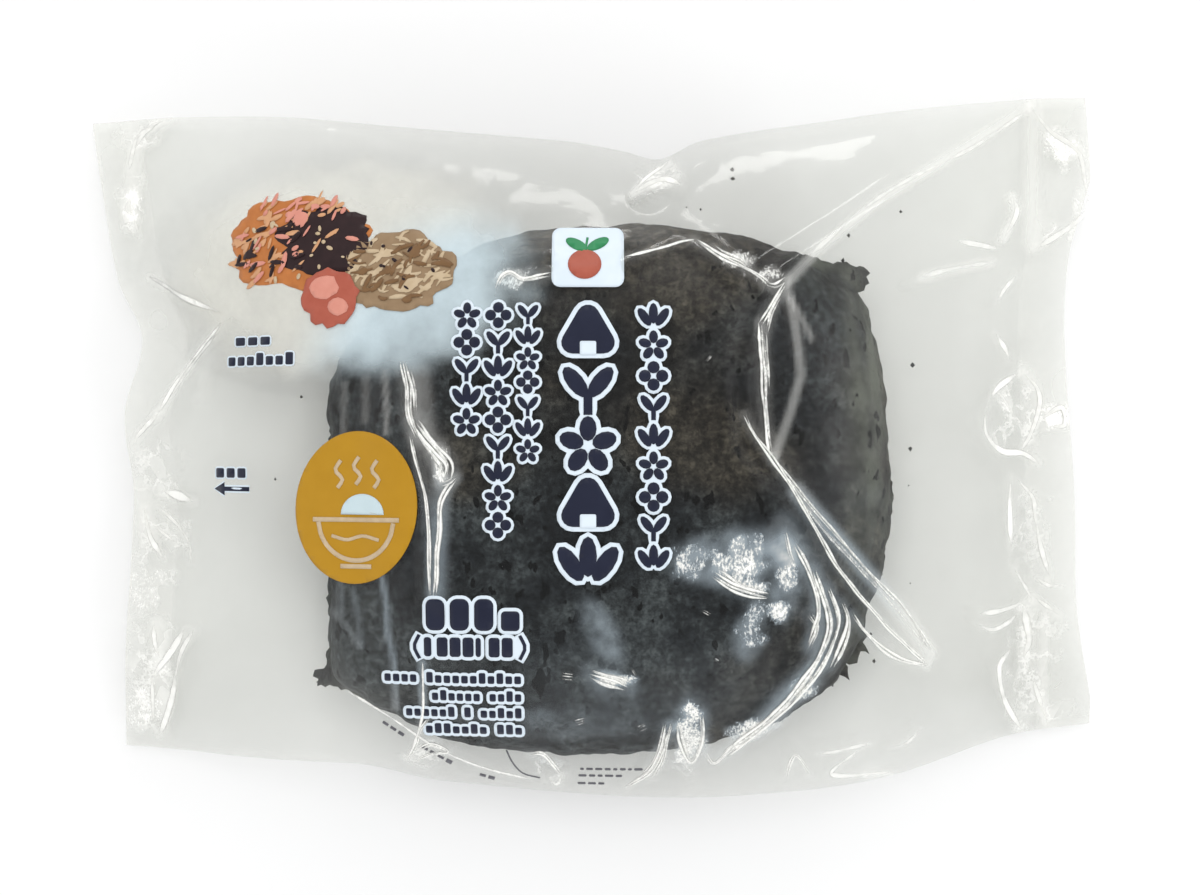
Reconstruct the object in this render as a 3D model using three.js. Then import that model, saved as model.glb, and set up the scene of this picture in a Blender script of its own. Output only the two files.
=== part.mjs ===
// A large rice ball wrapped in dried seaweed, sealed in a clear pillow pack that lies on its back.
// Millimetres. +X runs from end seal to end seal, +Y across the pack and +Z up through its face.
// The origin is under the middle of the pack, on the surface that it lies on.
//
// The pack is one closed solid: the film's outer surface round the rice ball and the air beside it.
// Two sheets of film, a face and a back, share one outline. Each is a height over the plan.

import * as THREE from "three";

// ---------------------------------------------------------------- driving dimensions

// The rice ball: a rounded slab, flat where it lies.
const BALL = {
  centre: [3.3, -7.8],
  halfLength: 51.3,
  halfWidth: 47.9,
  thickness: 34.2,
  planPower: 2.9,      // 2 is an ellipse, more is squarer
  rimPower: 4.2,       // how late the face turns down towards the rim
};

// The pack's outline, as x and y where its direction changes. The long sides are folds of the tube
// of film and the ends are sealed across.
const FAR_SIDE = [
  [-93, 59.6], [-76, 60.6], [-40, 57.7], [-5, 54.8], [6, 52.8],
  [12.5, 51.3], [20, 54.6], [45, 58.7], [80, 64.0], [93, 64.4],
];
const NEAR_SIDE = [
  [-93, -56.2], [-70, -57.6], [-42, -58.4], [-27, -61.6], [10, -64.4],
  [38, -63.4], [56, -60.6], [78, -54.6], [93, -52.5],
];
const LEFT_END = [
  [-56.5, -86.8], [-18, -85.2], [-9, -84.7], [5, -85.9],
  [19, -82.8], [30, -87.6], [48, -91.1], [60, -93.1],
];
const RIGHT_END = [
  [-53, 93.1], [-36, 90.4], [-18, 89.4], [8, 88.3],
  [30, 88.5], [41, 91.6], [46, 93.1], [64, 92.4],
];

const SEAL_WIDTH = 8.5;
const SEAL_THICKNESS = 0.6;
const SEAL_HEIGHT = 7.0;         // mid height of an end seal above the ground
const SEAL_CORNER_HEIGHT = 3.2;
const SEAL_WAVE = 1.6;           // how far an end seal waves up and down
const SIDE_FOLD_HEIGHT = 13.5;   // the long folds, beside the middle of the ball
const SIDE_FOLD_WAVE = 0.8;
const FOLD_TO_SEAL = [48, 84];   // distance from the middle, along X, over which folds drop to the seals
const SEAL_TO_CORNER = [30, 60]; // distance from the middle, along Y, over which seals drop to corners

// How the film stands off the ball.
const FILM_SLACK = 0.5;          // between the ball's face and the film over it
const FACE_LIFT_OFF = 0.84;      // share of the ball's plan where the face film leaves it
const BACK_LIFT_OFF = 0.80;      // share of the ball's plan that presses the back film flat
const WING_PUFF = 1.0;           // air that holds the face film up between ball and end seal
const SIDE_ROUNDING = 0.72;      // below 1 the long folds are rounded, at 1 they are sharp
const END_ROUNDING = 1.15;       // above 1 the film dips on its way to the end seals
const ROUNDING_CHANGE = [50, 80]; // distance from the middle, along X, from one to the other
const OUTLINE_BLEND = 6;         // how softly the slopes to a long side and to an end meet

// Folds that stand up in the face film: each a chain of points, its height, and how far its flanks
// reach to either side.
const RIDGES = [
  { points: [[29, 27], [52, 42], [81, 61]], height: 2.4, reach: 4.5 },  // to the far right corner
  { points: [[30, 27], [26, 14], [27, 0], [31, -5]], height: 1.3, reach: 4 },
  { points: [[27, 2], [42, -18], [58, -38]], height: 1.5, reach: 4 },   // to the near right rim
  { points: [[33, -16], [39, -32], [33, -46], [20, -57]], height: 1.6, reach: 4 },
  { points: [[-14, 29], [4, 30], [15, 36], [29, 27]], height: 1.2, reach: 4 },
  { points: [[-32, 12], [-27, 0], [-26, -26]], height: 1.2, reach: 4 }, // upright, on the left
  { points: [[-81, 31], [-65, 23], [-76, 4]], height: 2.0, reach: 5 },  // bent, in the left wing
  { points: [[10, 44], [20, 51]], height: 2.2, reach: 4 },              // dart in the far side
  { points: [[60, 2], [80, 6]], height: 1.6, reach: 5 },                // across the right wing
  { points: [[62, -48], [84, -40]], height: 1.6, reach: 5 },            // near right corner
];
const RIDGE_FADE = 4;            // high powers keep a fold at full height until close to the outline

// Back film: it rises slowly at first from the ground to the outline.
const BACK_RISE_POWER = 1.5;

// Back fin: the tube's lengthwise seal, folded flat. It stands proud where the back film is free.
const FIN = { y: -6, width: 11, relief: 0.5, start: 0.15, full: 0.5 };

// Mesh: cells along and across the pack. Rows start on straight lines between the end seals.
const SEAL_COLUMNS = 3;
const BODY_COLUMNS = 50;
const ROWS = 38;
const MEAN_LENGTH = 178;
const NEAR_ROW_Y = -58;
const FAR_ROW_Y = 61;

// ---------------------------------------------------------------- small helpers

const { clamp, lerp, smoothstep } = THREE.MathUtils;

/** Smooth curve through [position, value] pairs, read at one position. */
function readCurve(pairs, position) {
  const last = pairs.length - 1;
  const slopeAt = (k) => {
    const before = pairs[Math.max(k - 1, 0)];
    const after = pairs[Math.min(k + 1, last)];
    return (after[1] - before[1]) / (after[0] - before[0]);
  };
  let k = 0;
  while (k < last - 1 && position > pairs[k + 1][0]) {
    k += 1;
  }
  const [start, startValue] = pairs[k];
  const [end, endValue] = pairs[k + 1];
  const span = end - start;
  const t = clamp((position - start) / span, 0, 1);
  const t2 = t * t;
  const t3 = t2 * t;
  return (2 * t3 - 3 * t2 + 1) * startValue
    + (t3 - 2 * t2 + t) * span * slopeAt(k)
    + (3 * t2 - 2 * t3) * endValue
    + (t3 - t2) * span * slopeAt(k + 1);
}

/** Distance from a point to a chain of straight pieces. */
function distanceToChain(x, y, chain) {
  let nearest = Infinity;
  for (let k = 0; k + 1 < chain.length; k += 1) {
    const [ax, ay] = chain[k];
    const [bx, by] = chain[k + 1];
    const dx = bx - ax;
    const dy = by - ay;
    const t = clamp(((x - ax) * dx + (y - ay) * dy) / (dx * dx + dy * dy), 0, 1);
    nearest = Math.min(nearest, Math.hypot(x - ax - t * dx, y - ay - t * dy));
  }
  return nearest;
}

/** The smaller of two lengths, with the corner between them rounded over about `blend`. */
function softMin(a, b, blend) {
  const h = clamp(0.5 + 0.5 * (b - a) / blend, 0, 1);
  return lerp(b, a, h) - blend * h * (1 - h);
}

// ---------------------------------------------------------------- the pack's shape

/** 0 at the middle of the ball, 1 on its rim seen from above, more outside it. */
function ballShare(x, y) {
  const across = Math.abs(x - BALL.centre[0]) / BALL.halfLength;
  const up = Math.abs(y - BALL.centre[1]) / BALL.halfWidth;
  return (across ** BALL.planPower + up ** BALL.planPower) ** (1 / BALL.planPower);
}

/** Height of the film where it lies on the ball's face. */
function heightOnBall(share) {
  const halfThickness = BALL.thickness / 2;
  const fall = Math.sqrt(Math.max(0, 1 - Math.min(share, 1) ** BALL.rimPower));
  return halfThickness + halfThickness * fall + FILM_SLACK;
}

/** Height of the line where face and back film meet, spread over the whole plan. */
function meetingHeight(x, y) {
  const nearEnd = smoothstep(Math.abs(x), ...FOLD_TO_SEAL);
  const nearCorner = smoothstep(Math.abs(y), ...SEAL_TO_CORNER);
  const sealWave = SEAL_WAVE * Math.sin(y / 9 + (x < 0 ? 0.6 : 2.4));
  const seal = lerp(SEAL_HEIGHT + sealWave, SEAL_CORNER_HEIGHT, nearCorner);
  const side = SIDE_FOLD_HEIGHT + SIDE_FOLD_WAVE * Math.sin(x / 11);
  return lerp(side, seal, nearEnd);
}

/** How far a point is on its way from lift-off (0) to the outline or an end seal (1). */
function wayOut(x, y, liftOff) {
  const radius = (BALL.halfLength + BALL.halfWidth) / 2;
  const pastLiftOff = Math.max(0, ballShare(x, y) - liftOff) * radius;
  const fromEnd = Math.min(x - readCurve(LEFT_END, y), readCurve(RIGHT_END, y) - x) - SEAL_WIDTH;
  const fromSide = Math.min(readCurve(FAR_SIDE, x) - y, y - readCurve(NEAR_SIDE, x));
  const toOutline = Math.max(0, softMin(fromEnd, fromSide, OUTLINE_BLEND));
  return pastLiftOff / (pastLiftOff + toOutline + 1e-6);
}

/** 1 where the nearest edge is a long fold of the tube, 0 near the end seals. */
function besideFold(x) {
  return 1 - smoothstep(Math.abs(x), ...ROUNDING_CHANGE);
}

/** Height of the folds that stand up in the face film. */
function ridgeRelief(x, y) {
  let relief = 0;
  for (const ridge of RIDGES) {
    const distance = distanceToChain(x, y, ridge.points);
    relief = Math.max(relief, ridge.height * Math.max(0, 1 - distance / ridge.reach));
  }
  return relief;
}

/** Height of the face film. */
function faceHeight(x, y) {
  const way = wayOut(x, y, FACE_LIFT_OFF);
  const meeting = meetingHeight(x, y) + SEAL_THICKNESS / 2;
  const onBall = heightOnBall(Math.min(ballShare(x, y), FACE_LIFT_OFF));
  const rounding = lerp(END_ROUNDING, SIDE_ROUNDING, besideFold(x));
  const puff = WING_PUFF * Math.sin(Math.PI * way) * (1 - besideFold(x));
  const folds = ridgeRelief(x, y) * (1 - way ** RIDGE_FADE);
  return lerp(meeting, onBall, (1 - way) ** rounding) + puff + folds;
}

/** Height of the back film: flat on the ground under the ball, rising to the outline. */
function backHeight(x, y) {
  const way = wayOut(x, y, BACK_LIFT_OFF);
  const meeting = meetingHeight(x, y) - SEAL_THICKNESS / 2;
  const underFin = Math.abs(y - FIN.y) < FIN.width / 2 ? 1 : 0;
  const fin = FIN.relief * underFin * smoothstep(way, FIN.start, FIN.full);
  return meeting * way ** BACK_RISE_POWER - fin;
}

/** The plan position of one grid corner, by its column's share of the length and row's share. */
function planPoint(lengthShare, widthShare) {
  const nominalY = lerp(NEAR_ROW_Y, FAR_ROW_Y, widthShare);
  const x = lerp(readCurve(LEFT_END, nominalY), readCurve(RIGHT_END, nominalY), lengthShare);
  const y = lerp(readCurve(NEAR_SIDE, x), readCurve(FAR_SIDE, x), widthShare);
  return [x, y];
}

/** Column positions as shares of the length: narrow cells on the seals, even cells between. */
function columnShares() {
  const sealShare = SEAL_WIDTH / MEAN_LENGTH;
  const shares = [];
  for (let k = 0; k < SEAL_COLUMNS; k += 1) {
    shares.push(sealShare * k / SEAL_COLUMNS);
  }
  for (let k = 0; k <= BODY_COLUMNS; k += 1) {
    shares.push(lerp(sealShare, 1 - sealShare, k / BODY_COLUMNS));
  }
  for (let k = SEAL_COLUMNS - 1; k >= 0; k -= 1) {
    shares.push(1 - sealShare * k / SEAL_COLUMNS);
  }
  return shares;
}

/** Two triangles of a four-cornered cell, cut from its first corner or from its second. */
function splitCell([a, b, c, d], fromFirst) {
  return fromFirst ? [a, b, c, a, c, d] : [a, b, d, b, c, d];
}

/**
 * The closed solid of the whole pack: face sheet and back sheet, joined along the outline. The cells
 * are cut towards the pack's corners, so that each corner keeps its point.
 */
function packGeometry() {
  const shares = columnShares();
  const columns = shares.length - 1;
  const positions = [];
  const faceIndex = [];
  const backIndex = [];

  for (let i = 0; i <= columns; i += 1) {
    faceIndex.push([]);
    backIndex.push([]);
    for (let j = 0; j <= ROWS; j += 1) {
      const [x, y] = planPoint(shares[i], j / ROWS);
      const onOutline = i === 0 || i === columns || j === 0 || j === ROWS;
      const face = onOutline ? meetingHeight(x, y) : faceHeight(x, y);
      faceIndex[i].push(positions.length / 3);
      positions.push(x, y, face);
      if (onOutline) {
        backIndex[i].push(faceIndex[i][j]);
      } else {
        backIndex[i].push(positions.length / 3);
        positions.push(x, y, Math.max(0, backHeight(x, y)));
      }
    }
  }

  const triangles = [];
  for (let i = 0; i < columns; i += 1) {
    for (let j = 0; j < ROWS; j += 1) {
      const leansRight = (i < columns / 2) === (j < ROWS / 2);
      const face = [faceIndex[i][j], faceIndex[i + 1][j], faceIndex[i + 1][j + 1], faceIndex[i][j + 1]];
      const back = [backIndex[i][j], backIndex[i][j + 1], backIndex[i + 1][j + 1], backIndex[i + 1][j]];
      triangles.push(...splitCell(face, leansRight), ...splitCell(back, leansRight));
    }
  }

  const geometry = new THREE.BufferGeometry();
  geometry.setAttribute("position", new THREE.Float32BufferAttribute(positions, 3));
  geometry.setIndex(triangles);
  geometry.computeVertexNormals();
  return geometry;
}

// ---------------------------------------------------------------- the object

/** Clear film, as pale as it looks over a white ground. */
function filmMaterial() {
  return new THREE.MeshStandardMaterial({ color: 0xdde0da, roughness: 0.25, metalness: 0 });
}

/** The sealed pack. */
function filmPack() {
  const mesh = new THREE.Mesh(packGeometry(), filmMaterial());
  mesh.name = "film_pack";
  return mesh;
}

const object = new THREE.Group();
object.add(filmPack());

export default object;
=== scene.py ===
"""Looks of a large seaweed-wrapped rice ball in a clear film pillow pack.

The pack lies on its back and the camera looks straight down on its printed face. Everything that is
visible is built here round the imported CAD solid: the film with its folds, the wrapped rice ball
inside it and the print on the film. Shapes are worked out in millimetres and made in metres.
"""

import math
import random

import bpy
import numpy as np
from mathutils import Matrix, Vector, noise
from mathutils.geometry import delaunay_2d_cdt


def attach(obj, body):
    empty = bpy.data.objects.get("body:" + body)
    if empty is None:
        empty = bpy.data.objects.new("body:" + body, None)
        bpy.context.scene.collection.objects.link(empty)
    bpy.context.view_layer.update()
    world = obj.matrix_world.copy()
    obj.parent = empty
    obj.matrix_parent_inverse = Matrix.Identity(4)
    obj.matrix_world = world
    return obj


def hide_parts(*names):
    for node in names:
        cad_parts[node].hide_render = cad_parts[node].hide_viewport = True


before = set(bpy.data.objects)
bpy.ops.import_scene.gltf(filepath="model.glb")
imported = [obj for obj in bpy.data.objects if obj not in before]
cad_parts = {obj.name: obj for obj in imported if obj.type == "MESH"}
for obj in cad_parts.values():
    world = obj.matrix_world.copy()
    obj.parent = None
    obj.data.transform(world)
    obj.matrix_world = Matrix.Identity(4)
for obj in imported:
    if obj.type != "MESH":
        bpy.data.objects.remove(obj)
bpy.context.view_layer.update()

MM = 0.001

# ------------------------------------------------------------------ the pack, as in the CAD model

BALL_CENTRE = (3.3, -7.8)
BALL_HALF_LENGTH = 51.3
BALL_HALF_WIDTH = 47.9
BALL_THICKNESS = 34.2
BALL_PLAN_POWER = 2.9
BALL_RIM_POWER = 4.2
BALL_BACK_RIM_POWER = 8.0

FAR_SIDE = ((-93, 59.6), (-76, 60.6), (-40, 57.7), (-5, 54.8), (6, 52.8),
            (12.5, 51.3), (20, 54.6), (45, 58.7), (80, 64.0), (93, 64.4))
NEAR_SIDE = ((-93, -56.2), (-70, -57.6), (-42, -58.4), (-27, -61.6), (10, -64.4),
             (38, -63.4), (56, -60.6), (78, -54.6), (93, -52.5))
LEFT_END = ((-56.5, -86.8), (-18, -85.2), (-9, -84.7), (5, -85.9),
            (19, -82.8), (30, -87.6), (48, -91.1), (60, -93.1))
RIGHT_END = ((-53, 93.1), (-36, 90.4), (-18, 89.4), (8, 88.3),
             (30, 88.5), (41, 91.6), (46, 93.1), (64, 92.4))

SEAL_WIDTH = 8.5
SEAL_THICKNESS = 0.3
SEAL_HEIGHT = 7.0
SEAL_CORNER_HEIGHT = 3.2
SIDE_FOLD_HEIGHT = 13.5
SEAL_WAVE_HEIGHT = 1.6
SIDE_WAVE_HEIGHT = 0.8

FILM_SLACK = 0.5
FACE_LIFT_OFF = 0.84
BACK_LIFT_OFF = 0.80
WING_PUFF = 1.0
END_ROUNDING = 1.15
SIDE_ROUNDING = 0.72
BROAD_FACET_HEIGHT = 0.55
FINE_FACET_HEIGHT = 0.22
BACK_FACET_HEIGHT = 0.5
SWELL_HEIGHT = 0.14

# Broad folds of the face film, as in the CAD model: points, height and reach.
RIDGES = (
    (((29, 27), (52, 42), (81, 61)), 2.4, 4.5),
    (((30, 27), (26, 14), (27, 0), (31, -5)), 1.3, 4.0),
    (((27, 2), (42, -18), (58, -38)), 1.5, 4.0),
    (((33, -16), (39, -32), (33, -46), (20, -57)), 1.6, 4.0),
    (((-14, 29), (4, 30), (15, 36), (29, 27)), 0.8, 4.0),
    (((-32, 12), (-27, 0), (-26, -26)), 1.2, 4.0),
    (((-81, 31), (-65, 23), (-76, 4)), 2.0, 5.0),
    (((10, 44), (20, 51)), 2.2, 4.0),
    (((60, 2), (80, 6)), 1.6, 5.0),
    (((62, -48), (84, -40)), 1.6, 5.0),
)


def mix(a, b, t):
    """Straight blend from a to b."""
    return a + (b - a) * t


def smooth(value, low, high):
    """0 below low, 1 above high, and a smooth rise between."""
    t = np.clip((value - low) / (high - low), 0, 1)
    return t * t * (3 - 2 * t)


def read_curve(pairs, position):
    """Smooth curve through (position, value) pairs."""
    at = np.array([pair[0] for pair in pairs], float)
    value = np.array([pair[1] for pair in pairs], float)
    before = np.maximum(np.arange(len(at)) - 1, 0)
    after = np.minimum(np.arange(len(at)) + 1, len(at) - 1)
    slope = (value[after] - value[before]) / (at[after] - at[before])
    k = np.clip(np.searchsorted(at, position) - 1, 0, len(at) - 2)
    span = at[k + 1] - at[k]
    t = np.clip((position - at[k]) / span, 0, 1)
    return ((2 * t**3 - 3 * t**2 + 1) * value[k] + (t**3 - 2 * t**2 + t) * span * slope[k]
            + (3 * t**2 - 2 * t**3) * value[k + 1] + (t**3 - t**2) * span * slope[k + 1])


def ball_share(x, y):
    """0 at the middle of the ball, 1 on its rim seen from above, more outside it."""
    across = np.abs(x - BALL_CENTRE[0]) / BALL_HALF_LENGTH
    along = np.abs(y - BALL_CENTRE[1]) / BALL_HALF_WIDTH
    return (across**BALL_PLAN_POWER + along**BALL_PLAN_POWER) ** (1 / BALL_PLAN_POWER)


def height_on_ball(share):
    """Height of the film where it lies on the ball's face."""
    fall = np.sqrt(np.maximum(0, 1 - np.minimum(share, 1) ** BALL_RIM_POWER))
    return BALL_THICKNESS / 2 * (1 + fall) + FILM_SLACK


def meeting_height(x, y):
    """Height of the line where face and back film meet, spread over the whole plan."""
    near_end = smooth(np.abs(x), 48, 84)
    near_corner = smooth(np.abs(y), 30, 60)
    seal_wave = SEAL_WAVE_HEIGHT * np.sin(y / 9 + np.where(x < 0, 0.6, 2.4))
    seal = mix(SEAL_HEIGHT + seal_wave, SEAL_CORNER_HEIGHT, near_corner)
    side = SIDE_FOLD_HEIGHT + SIDE_WAVE_HEIGHT * np.sin(x / 11)
    return mix(side, seal, near_end)


def from_ends(x, y):
    """Distance from the nearer end of the pack."""
    return np.minimum(x - read_curve(LEFT_END, y), read_curve(RIGHT_END, y) - x)


def from_sides(x, y):
    """Distance from the nearer long side of the pack."""
    return np.minimum(read_curve(FAR_SIDE, x) - y, y - read_curve(NEAR_SIDE, x))


def way_out(x, y, lift_off):
    """How far a point is on its way from lift-off (0) to the outline or an end seal (1)."""
    radius = (BALL_HALF_LENGTH + BALL_HALF_WIDTH) / 2
    past_lift_off = np.maximum(0, ball_share(x, y) - lift_off) * radius
    from_end = from_ends(x, y) - SEAL_WIDTH
    from_side = from_sides(x, y)
    blend = 6.0
    h = np.clip(0.5 + 0.5 * (from_side - from_end) / blend, 0, 1)
    to_outline = np.maximum(0, mix(from_side, from_end, h) - blend * h * (1 - h))
    return past_lift_off / (past_lift_off + to_outline + 1e-6)


def beside_fold(x):
    """1 where the nearest edge is a long fold of the tube, 0 near the end seals."""
    return 1 - smooth(np.abs(x), 50, 80)


def chain_distance(x, y, chain):
    """Distance from points to a chain of straight pieces."""
    nearest = np.full(np.shape(x), np.inf)
    for (ax, ay), (bx, by) in zip(chain, chain[1:]):
        dx, dy = bx - ax, by - ay
        t = np.clip(((x - ax) * dx + (y - ay) * dy) / (dx * dx + dy * dy), 0, 1)
        nearest = np.minimum(nearest, np.hypot(x - ax - t * dx, y - ay - t * dy))
    return nearest


def ridge_relief(x, y):
    """Height of the broad folds that stand up in the face film."""
    relief = np.zeros(np.shape(x))
    for chain, height, reach in RIDGES:
        flank = smooth(1 - chain_distance(x, y, chain) / reach, 0, 1)
        relief = np.maximum(relief, height * flank)
    return relief


TABLE_STEP = 0.5
TABLE_HALF_LENGTH = 100
TABLE_HALF_WIDTH = 70


class ReliefTable:
    """A relief over the plan, worked out once on a fine grid and read back between its points."""

    def __init__(self, relief):
        across = np.arange(-TABLE_HALF_LENGTH, TABLE_HALF_LENGTH + TABLE_STEP, TABLE_STEP)
        along = np.arange(-TABLE_HALF_WIDTH, TABLE_HALF_WIDTH + TABLE_STEP, TABLE_STEP)
        self.values = relief(*np.meshgrid(across, along, indexing="ij"))

    def __call__(self, x, y):
        """The relief at plan positions."""
        column = np.clip((x + TABLE_HALF_LENGTH) / TABLE_STEP, 0, self.values.shape[0] - 1.001)
        row = np.clip((y + TABLE_HALF_WIDTH) / TABLE_STEP, 0, self.values.shape[1] - 1.001)
        i, j = column.astype(int), row.astype(int)
        u, v = column - i, row - j
        low = mix(self.values[i, j], self.values[i + 1, j], u)
        high = mix(self.values[i, j + 1], self.values[i + 1, j + 1], u)
        return mix(low, high, v)


POINT_SCATTER = 0.45


def facet_relief(spacing, seed):
    """Flat facets of random tilt between scattered points, as in film that was creased and opened."""
    draw = random.Random(seed)
    points = []
    for i in range(int(2 * TABLE_HALF_LENGTH / spacing) + 2):
        for j in range(int(2 * TABLE_HALF_WIDTH / spacing) + 2):
            across = i + draw.uniform(-POINT_SCATTER, POINT_SCATTER)
            along = j + draw.uniform(-POINT_SCATTER, POINT_SCATTER)
            points.append(Vector((across * spacing - TABLE_HALF_LENGTH - spacing,
                                  along * spacing - TABLE_HALF_WIDTH - spacing)))
    flat_points, _, triangles, *_ = delaunay_2d_cdt(points, [], [], 0, 1e-6)
    corners = np.array([tuple(p) for p in flat_points])
    heights = np.array([draw.uniform(-1, 1) for _ in flat_points])

    def relief(x, y):
        flat_x, flat_y = np.ravel(x), np.ravel(y)
        height = np.zeros(flat_x.shape)
        for triangle in triangles:
            (ax, ay), (bx, by), (cx, cy) = corners[list(triangle)]
            area = (bx - ax) * (cy - ay) - (cx - ax) * (by - ay)
            near = np.flatnonzero((flat_x >= min(ax, bx, cx)) & (flat_x <= max(ax, bx, cx))
                                  & (flat_y >= min(ay, by, cy)) & (flat_y <= max(ay, by, cy)))
            px, py = flat_x[near], flat_y[near]
            b = ((px - ax) * (cy - ay) - (cx - ax) * (py - ay)) / area
            c = ((bx - ax) * (py - ay) - (px - ax) * (by - ay)) / area
            inside = (b >= 0) & (c >= 0) & (b + c <= 1)
            ha, hb, hc = heights[list(triangle)]
            height[near[inside]] = (ha + b * (hb - ha) + c * (hc - ha))[inside]
        return height.reshape(np.shape(x))

    return relief


def noise_at(points, scale, offset=0.0):
    """Smooth noise from about -1 to 1 at points in millimetres; scale is the size of a feature."""
    return np.array([noise.noise(Vector(p) / scale + Vector((offset, 0, 0))) for p in points])


def plan_noise(x, y, scale, offset=0.0):
    """Smooth noise from about -1 to 1 over the plan."""
    flat = np.column_stack([np.ravel(x), np.ravel(y), np.zeros(np.size(x))])
    return noise_at(flat, scale, offset).reshape(np.shape(x))


def swell_relief(x, y):
    """Slack film's gentle swells."""
    return plan_noise(x, y, 11, 2.0) + 0.4 * plan_noise(x, y, 4.5, 6.0)


broad_crumple = ReliefTable(facet_relief(17, 5))
fine_crumple = ReliefTable(facet_relief(7.5, 11))
soft_swell = ReliefTable(swell_relief)


def face_height(x, y):
    """Height of the face film, with its broad folds and facets."""
    x, y = np.asarray(x, float), np.asarray(y, float)
    way = way_out(x, y, FACE_LIFT_OFF)
    meeting = meeting_height(x, y) + SEAL_THICKNESS / 2
    share = ball_share(x, y)
    on_ball = height_on_ball(np.minimum(share, FACE_LIFT_OFF))
    rounding = mix(END_ROUNDING, SIDE_ROUNDING, beside_fold(x))
    puff = WING_PUFF * np.sin(math.pi * way) * (1 - beside_fold(x))
    tent = mix(meeting, on_ball, (1 - way) ** rounding) + puff
    loose = smooth(way, 0.12, 0.5) * (1 - smooth(way, 0.85, 1.0))
    facets = loose * (BROAD_FACET_HEIGHT * broad_crumple(x, y) + FINE_FACET_HEIGHT * fine_crumple(x, y))
    resting = (1 - loose) * (1 - way) * SWELL_HEIGHT * soft_swell(x, y)
    return tent + facets + resting + ridge_relief(x, y) * (1 - way**4)


def back_height(x, y):
    """Height of the back film: flat on the ground under the ball, rising to the outline."""
    x, y = np.asarray(x, float), np.asarray(y, float)
    way = way_out(x, y, BACK_LIFT_OFF)
    meeting = meeting_height(x, y) - SEAL_THICKNESS / 2
    loose = smooth(way, 0.1, 0.4) * (1 - smooth(way, 0.85, 1.0))
    facets = loose * BACK_FACET_HEIGHT * broad_crumple(-x, y)
    return np.maximum(0, meeting * way**1.5 + facets)


# Level near and far sides, between which the shape of the pack's two ends is read.
NOMINAL_SIDES = (-58, 61)


def plan_points(length_share, width_share):
    """Plan positions of grid corners from their shares of the pack's length and width."""
    nominal_y = mix(*NOMINAL_SIDES, width_share)
    x = mix(read_curve(LEFT_END, nominal_y), read_curve(RIGHT_END, nominal_y), length_share)
    y = mix(read_curve(NEAR_SIDE, x), read_curve(FAR_SIDE, x), width_share)
    return x, y


# ------------------------------------------------------------------ meshes

def make_object(name, points, faces, material, smooth_shading=True):
    """A mesh object from points in millimetres."""
    mesh = bpy.data.meshes.new(name)
    mesh.from_pydata((np.asarray(points) * MM).tolist(), [], faces)
    mesh.validate()
    mesh.polygons.foreach_set("use_smooth", [smooth_shading] * len(mesh.polygons))
    mesh.materials.append(material)
    mesh.update()
    piece = bpy.data.objects.new(name, mesh)
    bpy.context.scene.collection.objects.link(piece)
    return piece


def add_attribute(piece, name, values):
    """A number for each corner point, which a material can read."""
    attribute = piece.data.attributes.new(name, "FLOAT", "POINT")
    attribute.data.foreach_set("value", np.asarray(values, np.float32))


def finish_piece(piece):
    """Every visible piece belongs to the one body."""
    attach(piece, "root")
    return piece


def grid_faces(columns, rows, flip=False):
    """Four-cornered faces of a grid whose points run row by row within each column."""
    faces = []
    for i in range(columns):
        for j in range(rows):
            a = i * (rows + 1) + j
            b = a + rows + 1
            face = (a, b, b + 1, a + 1)
            faces.append(face[::-1] if flip else face)
    return faces


# ------------------------------------------------------------------ materials

def new_material(name):
    """A material with an empty node tree, and that tree."""
    material = bpy.data.materials.new(name)
    material.use_nodes = True
    material.node_tree.nodes.clear()
    return material, material.node_tree


def set_input(tree, socket, value):
    """Gives an input a plain number or colour, or links another node's output to it."""
    if isinstance(value, bpy.types.NodeSocket):
        tree.links.new(value, socket)
    elif socket.type == "RGBA":
        socket.default_value = (*value, 1)
    else:
        socket.default_value = value


def add_node(tree, kind, inputs=None, **settings):
    """A node with its settings and with its inputs, each by name or number."""
    node = tree.nodes.new(kind)
    for key, value in settings.items():
        setattr(node, key, value)
    for key, value in (inputs or {}).items():
        set_input(tree, node.inputs[key], value)
    return node


def object_texture(tree, kind, inputs, stretch):
    """A texture in the object's own space; its scale is in features a metre."""
    coordinates = add_node(tree, "ShaderNodeTexCoord").outputs["Object"]
    mapping = add_node(tree, "ShaderNodeMapping", {"Vector": coordinates, "Scale": stretch})
    return add_node(tree, kind, {"Vector": mapping.outputs["Vector"], **inputs})


def object_noise(tree, scale, detail=3.0, roughness=0.5, stretch=(1, 1, 1)):
    """Noise in the object's own space."""
    inputs = {"Scale": scale, "Detail": detail, "Roughness": roughness}
    return object_texture(tree, "ShaderNodeTexNoise", inputs, stretch).outputs["Fac"]


def ramp(tree, value, *stops):
    """Colours by value: each stop is a position and a colour."""
    node = add_node(tree, "ShaderNodeValToRGB", {"Fac": value})
    elements = node.color_ramp.elements
    while len(elements) < len(stops):
        elements.new(0.5)
    for element, (position, colour) in zip(elements, stops):
        element.position = position
        element.color = (*colour, 1)
    return node.outputs["Color"]


def calculate(tree, operation, *values):
    """One step of arithmetic on outputs or plain numbers."""
    return add_node(tree, "ShaderNodeMath", dict(enumerate(values)), operation=operation).outputs["Value"]


def step_up(tree, value, low, high):
    """0 below low, 1 above high, and a smooth rise between."""
    inputs = {"Value": value, "From Min": low, "From Max": high}
    return add_node(tree, "ShaderNodeMapRange", inputs, interpolation_type="SMOOTHSTEP").outputs["Result"]


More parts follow.
